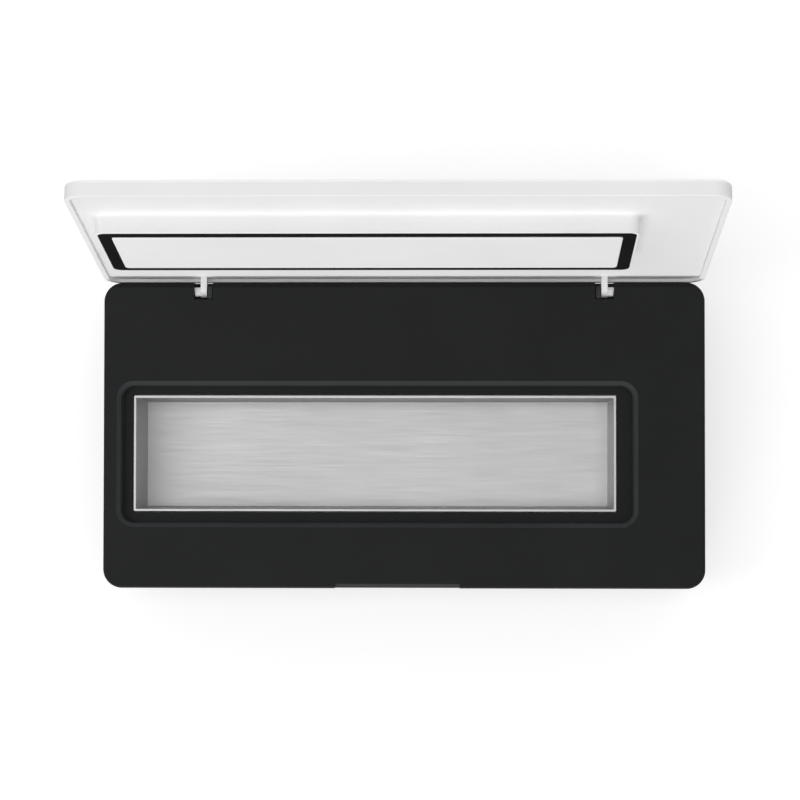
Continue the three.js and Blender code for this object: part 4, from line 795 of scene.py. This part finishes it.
def front_openings():
    """Holes for the buttons and for the display, and the seat of its window."""
    span = (-DEPTH / 2 - OVERRUN, FRONT_Y + OVERRUN)
    buttons = rods("y", BUTTON_RADIUS + GAP, span, [(x, DISPLAY[1]) for x in BUTTON_X])
    view = display_plate(-DISPLAY_LEDGE, DISPLAY_CORNER, span)
    seat = display_plate(GAP, DISPLAY_CORNER + GAP, (span[0], GLASS + GAP - DEPTH / 2))
    return [joined(buttons, view), seat]


def socket_plate(growth, span, **edges):
    size = (SOCKET_WIDTH + 2 * growth, SOCKET_HEIGHT + 2 * growth)
    return plate("x", *size, SOCKET_CORNER + growth, SOCKET, span, **edges)


def make_base_shell():
    shell = solid("base_lower", base_cup())
    cut(shell, layered(case_ring, [(WALL, FLOOR_Z), (WALL, DECK_Z)]))
    fuse(shell, *base_posts())
    intake = grille_plate("z", 0, (FOOT_Z - OVERRUN, FLOOR_Z + OVERRUN))
    socket = socket_plate(GAP, (LENGTH / 2 - WALL - OVERRUN, LENGTH / 2 + OVERRUN))
    cut(shell, *base_bores(), *front_openings(), exhaust_window(), intake, socket)
    soften(shell, HOUSING_BEVEL, BEVEL_ANGLE)
    stand_for(shell, "base_shell")


def make_liner():
    """The drawn tray, with a thin bright rim."""
    lean = LINER_DRAFT / (RECESS_Z - LINER_FLOOR_Z + LINER_WALL)
    foot_z = LINER_FLOOR_Z - LINER_WALL
    foot_edge, rim_edge, fillet = 0.4, 0.12, 0.15
    inner_foot = lean * LINER_WALL - LINER_DRAFT - LINER_WALL
    rows = [
        (-LINER_DRAFT - foot_edge, LINER_CORNER, foot_z),
        (-LINER_DRAFT, LINER_CORNER, foot_z + foot_edge),
        (-rim_edge * lean, LINER_CORNER, RECESS_Z - rim_edge),
        (-rim_edge, LINER_CORNER - 0.1, RECESS_Z),
        (rim_edge - LINER_WALL, LINER_INNER_CORNER, RECESS_Z),
        (-LINER_WALL, LINER_INNER_CORNER, RECESS_Z - rim_edge),
    ]
    for inset, fall in rolled(fillet, FILLET_STEPS):
        rows.append((inner_foot - inset, LINER_INNER_CORNER, LINER_FLOOR_Z + fall))
    stand_for(solid("well_tray", loft([well_ring(*row, LINER_STEPS) for row in rows])), "well_liner")


def make_foam_tub():
    """The foam round the well, with a window for the cold block and a pocket for the sensor."""
    top = RECESS_Z - SKIN - GAP
    rows = (
        (FOAM - FOAM_EDGE, FOAM_BOTTOM_Z), (FOAM, FOAM_BOTTOM_Z + FOAM_EDGE), (FOAM, top - FOAM_EDGE),
        (FOAM - FOAM_EDGE, top),
    )
    tub = solid("foam_tub", loft([well_ring(growth, growth, z) for growth, z in rows]))
    corner = LINER_CORNER + GAP
    hollow = loft([
        well_ring(GAP - LINER_DRAFT, corner, LINER_FLOOR_Z - LINER_WALL - GAP, LINER_STEPS),
        well_ring(GAP, corner, RECESS_Z, LINER_STEPS),
    ])
    window = box(around(COOLER[0], WINDOW_LENGTH), (WELL[1], WINDOW_REAR), around(COOLER[1], WINDOW_HEIGHT))
    pocket_end = WELL[0] + LINER_LENGTH / 2 + SENSOR_SINK
    pocket = box((WELL[0], pocket_end), around(WELL[1], SENSOR_WIDTH), around(SENSOR_Z, SENSOR_HEIGHT))
    cut(tub, hollow, window, pocket)
    stand_for(tub, "well_insulation")


def make_foam_slab():
    growth = LAND - PLINTH_WALL
    low, high = FOAM_SEAT_Z + GAP, PANEL_TOP_Z
    rows = [(growth - inset, low + rise) for inset, rise in SLAB_EDGE]
    rows += [(growth - inset, high - rise) for inset, rise in reversed(SLAB_EDGE)]
    slab = solid("lid_foam", layered(seal_ring, rows))
    opened(slab)
    stand_for(slab, "lid_insulation")


def make_lid_cover():
    """The lid's outer shell with its rolled top edge, hollow from below."""
    roll = [(inset, LID_TOP_Z - fall) for inset, fall in rolled(LID_ROLL)]
    cover = solid("lid_cover", layered(case_ring, [(RIM_EDGE, RIM_Z), (0, RIM_Z + RIM_EDGE), *roll]))
    ledge_z = PANEL_TOP_Z + GAP
    hollow = layered(case_ring, [
        (RIM_WIDTH - RIM_EDGE, RIM_Z - RIM_EDGE),
        (RIM_WIDTH, RIM_Z + RIM_EDGE),
        (RIM_WIDTH, ledge_z),
        (RIM_WIDTH + LEDGE, ledge_z),
        (RIM_WIDTH + LEDGE, CEILING_Z),
    ])
    cut(cover, hollow)
    opened(cover)
    stand_for(cover, "lid_shell")


def plinth_shape():
    """The raised plinth, from its rounded tip to the fillet where it meets the panel."""
    outer = GAP + LAND
    foot = outer + FLARE
    rows = [(outer - inset, TIP_Z + rise) for inset, rise in PLINTH_TIP]
    rows += [(foot + inset, PANEL_Z - fall) for inset, fall in rolled(PLINTH_FILLET)]
    rows.append((foot + PLINTH_FILLET, (PANEL_Z + PANEL_TOP_Z) / 2))
    return layered(seal_ring, rows)


def hinge_arm(side):
    """The flat arm whose rounded end turns about the axis."""
    rear = DEPTH / 2 - RIM_WIDTH - GAP
    root_z = (PANEL_Z + PANEL_TOP_Z) / 2
    outline = [(rear, root_z), (HINGE_Y - KNUCKLE, root_z)]
    outline += arc(KNUCKLE, (HINGE_Y, HINGE_Z), 1, 2)
    outline += [(HINGE_Y + KNUCKLE, HINGE_Z + KNUCKLE_RISE), (rear, HINGE_Z + ARM_RISE)]
    return prism("x", outline, around(side * HINGE_X, ARM))


def hinge_pin(side):
    root = side * (HINGE_X + ARM / 2 - PIN_ROOT)
    tip = side * (HINGE_X + POCKET_WIDTH / 2 + BEARING - GAP)
    profile = [(PIN, root), (PIN, tip - side * PIN_EDGE), (PIN - PIN_EDGE, tip)]
    return turned("x", profile, (HINGE_Y, HINGE_Z), POST_SIDES)


def hinge_hook(side):
    """The foot that stands out from the arm's end, drawn where it is with the lid open."""
    arm_face = side * (HINGE_X + ARM / 2 - HOOK_ROOT)
    reach = side * (HINGE_X + POCKET_WIDTH / 2 - GAP)
    return prism("x", HOOK_OUTLINE, sorted((arm_face, reach)))


def make_lid_panel():
    """The lid's inside: a flat panel with the plinth and the two hinge lugs."""
    panel = solid("lid_panel", layered(case_ring, [
        (RIM_WIDTH + PANEL_EDGE, PANEL_Z), (RIM_WIDTH, PANEL_Z + PANEL_EDGE), (RIM_WIDTH, PANEL_TOP_Z),
    ]))
    cavity_growth = GAP + LAND - PLINTH_WALL
    cavity = layered(seal_ring, [(cavity_growth, FOAM_SEAT_Z), (cavity_growth, PANEL_TOP_Z + OVERRUN)])
    pocket = layered(seal_ring, [(HAIRLINE, TIP_Z - OVERRUN), (HAIRLINE, SEAL_POCKET_Z)])
    fuse(panel, plinth_shape())
    cut(panel, cavity, pocket)
    fuse(panel, *[hinge_arm(side) for side, _ in SIDES])
    fuse(panel, *[hinge_pin(side) for side, _ in SIDES])
    opened(panel)
    fuse(panel, *[hinge_hook(side) for side, _ in SIDES])
    stand_for(panel, "lid_inner")


def make_seal():
    """The gasket: one soft rounded bar all round the liner's rim."""
    back, half = SEAL_POCKET_Z - GAP, SEAL_WIDTH / 2
    edge = rolled(SEAL_EDGE, SEAL_STEPS)
    profile = [(half, back)]
    profile += [(half - inset, SEAL_Z + fall) for inset, fall in edge]
    profile += [(inset - half, SEAL_Z + fall) for inset, fall in reversed(edge)]
    profile.append((-half, back))
    rings = []
    for growth, z in profile:
        corner = between((SEAL_CORNER / 2, SEAL_CORNER), (growth + half) / SEAL_WIDTH)
        rings.append(well_ring(growth, corner, z))
    seal = solid("lid_seal", hoop(rings))
    opened(seal)
    stand_for(seal, "lid_gasket")


def make_centre_panel():
    growth = -SEAL_WIDTH / 2 - HAIRLINE
    rows = [(growth, SEAL_POCKET_Z - GAP)]
    rows += [(growth - inset, CENTRE_Z + fall) for inset, fall in rolled(CENTRE_EDGE, FILLET_STEPS)]
    centre = solid("lid_centre", loft([well_ring(offset, SEAL_CORNER / 2, z) for offset, z in rows]))
    opened(centre)
    stand_for(centre, "lid_centre_panel")


def make_retainers():
    """Wedges beside the hinge arms, a shade lighter than the deck."""
    front, rear = DEPTH / 2 - POCKET_DEPTH + GAP, DEPTH / 2 - DECK_ROLL
    low, top = POCKET_FLOOR_Z + GAP, DECK_Z - WEDGE_SINK
    slope = [(rear, top - WEDGE_REAR_FALL), (HINGE_Y, top - WEDGE_MIDDLE_FALL), (front, top)]
    for side, label in SIDES:
        inner = side * (HINGE_X - POCKET_WIDTH / 2) + side * GAP
        outer = side * (HINGE_X - ARM / 2) - side * GAP
        shape = prism("x", [(front, low), (rear, low), *slope], sorted((inner, outer)))
        wedge = solid(f"retainer_{label}", shape)
        soften(wedge, WEDGE_BEVEL, WEDGE_ANGLE)
        stand_for(wedge, f"hinge_retainer_{label}")


def make_feet():
    """Rubber feet with a rounded sole, the front pair first."""
    places = sorted(FEET, key=lambda place: place[1])
    profile = [*FOOT_SOLE, (FOOT_RADIUS, FOOT_Z + FOOT_SEAT - GAP)]
    for number, place in enumerate(places, 1):
        stand_for(solid(f"rubber_foot_{number}", turned("z", profile, place)), f"foot_{number}")


def cross_screw(name, node, axis, centre, ends, size):
    """A pan-headed screw with a cross recess. Its ends are the head's seat and the shaft's tip."""
    (head_face, tip), (shaft, head, head_height) = ends, size
    out = -1 if tip > head_face else 1
    head_end = head_face + out * head_height
    profile = [(head - inset, head_end - out * fall) for inset, fall in HEAD_CROWN]
    profile += [(head, head_face), (shaft, head_face), (shaft, tip + out * SCREW_TAPER), (shaft / 2, tip)]
    made = solid(name, turned(axis, profile, centre, SCREW_SIDES))
    span = sorted((head_end + out * OVERRUN, head_end - out * CROSS_DEPTH))
    reach, width = CROSS_REACH * head, CROSS_WIDTH * head
    arms = [
        prism(axis, rectangle(around(centre[0], across), around(centre[1], up)), span)
        for across, up in ((reach, width), (width, reach))
    ]
    cut(made, *arms)
    stand_for(made, node)


def make_screws():
    """The case's from below, the fan's through the exhaust grille, the two boards' and the heatsink's."""
    face = FOOT_Z + HEAD_SINK + HEAD_HEIGHT
    case_ends = (face, face + CASE_SCREW_LENGTH)
    fan_ends = (DEPTH / 2 - HEAD_HEIGHT + GAP, FAN_FRONT_Y + GAP)
    large = (SCREW_RADIUS, HEAD_RADIUS, HEAD_HEIGHT)
    sunk = (SCREW_RADIUS, HEAD_RADIUS, HEAD_HEIGHT - GAP)
    for name, node, axis, places, ends, size in (
        ("base", "case", "z", PILLARS, case_ends, large),
        ("grille", "fan", "y", FAN_SCREWS, fan_ends, sunk),
        ("small_control_board", "control_board", "z", CONTROL_HOLES, CONTROL_SCREW_ENDS, SMALL_SCREW),
        ("small_display_board", "display_board", "y", BOARD_HOLES, BOARD_SCREW_ENDS, SMALL_SCREW),
        ("long_clamp", "clamp", "y", CLAMPS, CLAMP_ENDS, large),
    ):
        for number, place in enumerate(places, 1):
            label = f"_screw_{number}"
            cross_screw(name + label, node + label, axis, place, ends, size)


def make_magnets():
    """Chamfered discs under the deck's skin and in the lid, which hold the lid shut."""
    deck = (UNDER_Z - GAP - MAGNET_HEIGHT, UNDER_Z - GAP)
    lid = (PANEL_TOP_Z + GAP, CEILING_Z - GAP)
    rim = MAGNET_RADIUS - MAGNET_EDGE
    for where, (low, high) in (("deck", deck), ("lid", lid)):
        profile = [
            (rim, low), (MAGNET_RADIUS, low + MAGNET_EDGE), (MAGNET_RADIUS, high - MAGNET_EDGE), (rim, high),
        ]
        for (_, label), place in zip(SIDES, MAGNETS):
            disc = solid(f"{where}_disc_{label}", turned("z", profile, place))
            if where == "lid":
                opened(disc)
            stand_for(disc, f"{where}_magnet_{label}")


def slot_shape(axis, length, centre, span):
    return prism(axis, rounded(length, SLOT_WIDTH, SLOT_WIDTH / 2 - SLIVER, centre), span)


def exhaust_slots(span):
    field = FAN_BORE + FIELD_MARGIN
    count = 2 * int((field - SLOT_WIDTH) / SLOT_PITCH) + 1
    slots = []
    for number in range(count):
        rise = (number - (count - 1) / 2) * SLOT_PITCH
        reach = sqrt(field ** 2 - (abs(rise) + SLOT_WIDTH / 2) ** 2)
        slots.append(slot_shape("y", 2 * reach, (COOLER[0], COOLER[1] + rise), span))
    return joined(*slots)


def make_grille(name, node, axis, span, flange_span, cuts, **edges):
    grille = solid(name, grille_plate(axis, -GAP, span, edge=GRILLE_EDGE, **edges))
    fuse(grille, grille_plate(axis, FLANGE, flange_span))
    cut(grille, *cuts)
    soften(grille, GRILLE_BEVEL, BEVEL_ANGLE)
    stand_for(grille, node)


def make_exhaust_grille():
    """The cover behind the fan, with sinks for four screws."""
    face, front = REAR_Y - GAP, REAR_Y - GAP - FLANGE_THICKNESS
    through = (front - OVERRUN, DEPTH / 2 + OVERRUN)
    bores = rods("y", SCREW_RADIUS + GAP, (through[0], DEPTH / 2), FAN_SCREWS, BORE_SIDES)
    sinks = rods("y", HEAD_RADIUS + GAP, (DEPTH / 2 - HEAD_HEIGHT, through[1]), FAN_SCREWS, SCREW_SIDES)
    cuts = (exhaust_slots(through), bores, sinks)
    make_grille("exhaust_cover", "exhaust_grille", "y", (front, DEPTH / 2), (front, face), cuts, near=False)


def make_intake_grille():
    top = FLOOR_Z + GAP + FLANGE_THICKNESS
    through = (FOOT_Z - OVERRUN, top + OVERRUN)
    length = EXHAUST_SIZE - 2 * INTAKE_MARGIN
    slots = []
    for number in range(INTAKE_SLOTS):
        y = INTAKE_Y + (number - (INTAKE_SLOTS - 1) / 2) * SLOT_PITCH
        slots.append(slot_shape("z", length, (COOLER[0], y), through))
    flange_span = (FLOOR_Z + GAP, top)
    make_grille("intake_cover", "intake_grille", "z", (FOOT_Z, top), flange_span, [joined(*slots)], far=False)


def blade_section(radius, chord, pitch, start, centre_y):
    """A cambered outline of a blade, wrapped round the fan's axis at one radius."""
    shares = [step / BLADE_STEPS - 0.5 for step in range(BLADE_STEPS + 1)]
    points = []
    for side, row in ((0.5, shares), (-0.5, shares[::-1])):
        for share in row:
            thinning = sqrt(max(BLADE_BLUNTNESS, 1 - (2 * share) ** 2))
            off = BLADE_CAMBER * (1 - 4 * share * share) + side * BLADE_THICKNESS * thinning
            across = share * chord * cos(pitch) - off * sin(pitch)
            y = centre_y + share * chord * sin(pitch) + off * cos(pitch)
            angle = start + across / radius
            points.append((COOLER[0] + radius * cos(angle), y, COOLER[1] + radius * sin(angle)))
    return points


def fan_blade(start, centre_y):
    """One twisted blade, from its root inside the hub to its tip."""
    sections = []
    for step in range(BLADE_STEPS + 1):
        share = step / BLADE_STEPS
        pitch = radians(between(BLADE_PITCH, share))
        radius, chord = between(BLADE_REACH, share), between(BLADE_CHORD, share)
        sections.append(blade_section(radius, chord, pitch, start, centre_y))
    return loft(sections)


def make_fan():
    """The rotor: a hub with a rounded face, its shaft and the blades."""
    front, rear = FAN_FRONT_Y + GAP, FAN_REAR_Y - STATOR - GAP
    profile = [(FAN_HUB - inset, front + fall) for inset, fall in HUB_CROWN]
    profile += [(FAN_HUB, rear), (FAN_SHAFT, rear), (FAN_SHAFT, FAN_REAR_Y - STATOR / 4 - GAP)]
    rotor = solid("fan_wheel", turned("y", profile, COOLER, HUB_SIDES))
    middle_y = (front + rear) / 2
    blades = [fan_blade(number / BLADES * 2 * pi, middle_y) for number in range(BLADES)]
    fuse(rotor, joined(*blades))
    stand_for(rotor, "fan_rotor")


def make_buttons():
    front, seat = -DEPTH / 2 - BUTTON_PROUD, FRONT_Y + GAP
    profile = [(radius, front + depth) for radius, depth in BUTTON_DISH]
    for inset, fall in reversed(rolled(BUTTON_EDGE, FILLET_STEPS)):
        profile.append((BUTTON_RADIUS - inset, front + fall))
    profile += [(BUTTON_RADIUS, seat), (BUTTON_FLANGE, seat), (BUTTON_FLANGE, seat + BUTTON_FLANGE_THICKNESS)]
    for number, x in enumerate(BUTTON_X, 1):
        cap = turned("y", profile, (x, DISPLAY[1]))
        stand_for(solid(f"push_cap_{number}", cap), f"button_{number}")


def make_display_window():
    size, span = (DISPLAY_LENGTH, DISPLAY_HEIGHT), (-DEPTH / 2, GLASS - DEPTH / 2)
    pane = plate("y", *size, DISPLAY_CORNER, DISPLAY, span, GLASS_EDGE, far=False)
    stand_for(solid("display_pane", pane), "display_window")


def make_socket():
    """The charging socket: a sheet metal shell round a tongue."""
    outer_x = LENGTH / 2 - SOCKET_SINK
    inner_x = outer_x - SOCKET_LENGTH
    shell = solid("socket_shell", socket_plate(0, (inner_x, outer_x), edge=SOCKET_EDGE, near=False))
    cut(shell, socket_plate(-SOCKET_SHEET, (inner_x + SOCKET_SHEET, outer_x + OVERRUN)))
    xs = (inner_x + TONGUE_ROOT, outer_x - TONGUE_SINK)
    tongue = box(xs, around(SOCKET[0], TONGUE_WIDTH), around(SOCKET[1], TONGUE_HEIGHT))
    fuse(shell, tongue)
    stand_for(shell, "charging_socket")


def make_cells():
    """Four cylindrical cells in their sleeves, each with a crimped shoulder and a raised contact."""
    for number, (start, z) in enumerate(((x, z) for x in CELL_X for z in CELL_Z), 1):
        profile = [(radius, start + place) for radius, place in CELL_FLAT_END]
        profile += [(radius, start + CELL_LENGTH + place) for radius, place in CELL_CONTACT_END]
        cell = solid(f"sleeved_cell_{number}", turned("x", profile, (CELL_Y, z)))
        stand_for(cell, f"battery_cell_{number}")
        bare_cell_ends(cell, z)


def bare_cell_ends(cell, centre_z):
    """Gives the cell's ends, which the sleeve leaves bare, the finish of the metal can."""
    cell.data.materials.append(MATERIALS["nickel"])
    for face in cell.data.polygons:
        _, y, z = (value / MM for value in face.center)
        if hypot(y - CELL_Y, z - centre_z) < CELL_CAP_RADIUS:
            face.material_index = 1


def calculated(tree, operation, first, second):
    made = tree.nodes.new("ShaderNodeMath")
    made.operation = operation
    tree.links.new(first, made.inputs[0])
    tree.links.new(second, made.inputs[1])
    return made.outputs["Value"]


def seen_or_fill(tree, seen, fill):
    """One value where the surface is seen, also in gloss or through glass, and another as a light."""
    path = tree.nodes.new("ShaderNodeLightPath")
    total = path.outputs["Is Camera Ray"]
    for name in ("Is Glossy Ray", "Is Transmission Ray"):
        total = calculated(tree, "MAXIMUM", total, path.outputs[name])
    return passed(tree, total, "MapRange", "Value", "Result", To_Min=fill, To_Max=seen)


def add_floor():
    """A plain pale floor that keeps the object's shadow."""
    half = FLOOR_SIZE / 2
    corners = [(x, y, 0) for x, y in rectangle((-half, half), (-half, half))]
    mesh = bpy.data.meshes.new("floor")
    mesh.from_pydata(corners, [], [(0, 1, 2, 3)])
    floor = linked("floor", mesh)
    shader = Shader(
        "floor_pale", Roughness=FLOOR_ROUGHNESS, Specular_IOR_Level=FLOOR_SHINE, Emission_Color=WHITE
    )
    shader.link(seen_or_fill(shader.tree, FLOOR_SEEN, FLOOR_FILL), "Base Color")
    shader.link(seen_or_fill(shader.tree, FLOOR_GLOW, 0.0), "Emission Strength")
    mesh.materials.append(shader.material)
    floor.location.z = -FLOOR_DROP


def add_world():
    """A white studio sky that is darker overhead."""
    world = bpy.data.worlds.new("studio")
    world.use_nodes = True
    bpy.context.scene.world = world
    tree = world.node_tree
    background = fill_inputs(tree.nodes["Background"], Color=WHITE)
    place = tree.nodes.new("ShaderNodeTexCoord").outputs["Generated"]
    up = passed(tree, place, "SeparateXYZ", "Vector", "Z")
    values = {"From_Min": sin(radians(SKY_RISE)), "From_Max": 1, "To_Min": SKY_LOW, "To_Max": SKY_HIGH}
    sky = passed(tree, up, "MapRange", "Value", "Result", **values)
    strength = calculated(tree, "MULTIPLY", sky, seen_or_fill(tree, 1.0, SKY_FILL))
    tree.links.new(strength, background.inputs["Strength"])


def add_lamp(name, azimuth, elevation, distance, size, level):
    """A soft lamp aimed at the case. It lights a white face square to it to this level."""
    turn, rise = radians(azimuth), radians(elevation)
    away = Vector((sin(turn) * cos(rise), -cos(turn) * cos(rise), sin(rise)))
    data = bpy.data.lights.new(name, "AREA")
    data.shape = "RECTANGLE"
    data.size, data.size_y = size
    data.energy = level * (pi * distance) ** 2
    lamp = linked(name, data)
    lamp.location = Vector(LAMP_AIM) + away * distance
    lamp.rotation_euler = (-away).to_track_quat("-Z", "Y").to_euler()
    lamp.visible_camera = False


add_camera()
add_world()
for lamp_name, lamp_row in LAMPS.items():
    add_lamp(lamp_name, *lamp_row)
add_floor()
dress_nodes()
make_top_deck()
make_base_shell()
make_liner()
make_foam_tub()
make_foam_slab()
make_lid_cover()
make_lid_panel()
make_seal()
make_centre_panel()
make_retainers()
make_feet()
make_screws()
make_magnets()
make_exhaust_grille()
make_intake_grille()
make_fan()
make_buttons()
make_display_window()
make_socket()
make_cells()

scene = bpy.context.scene
scene.view_settings.view_transform = "Standard"
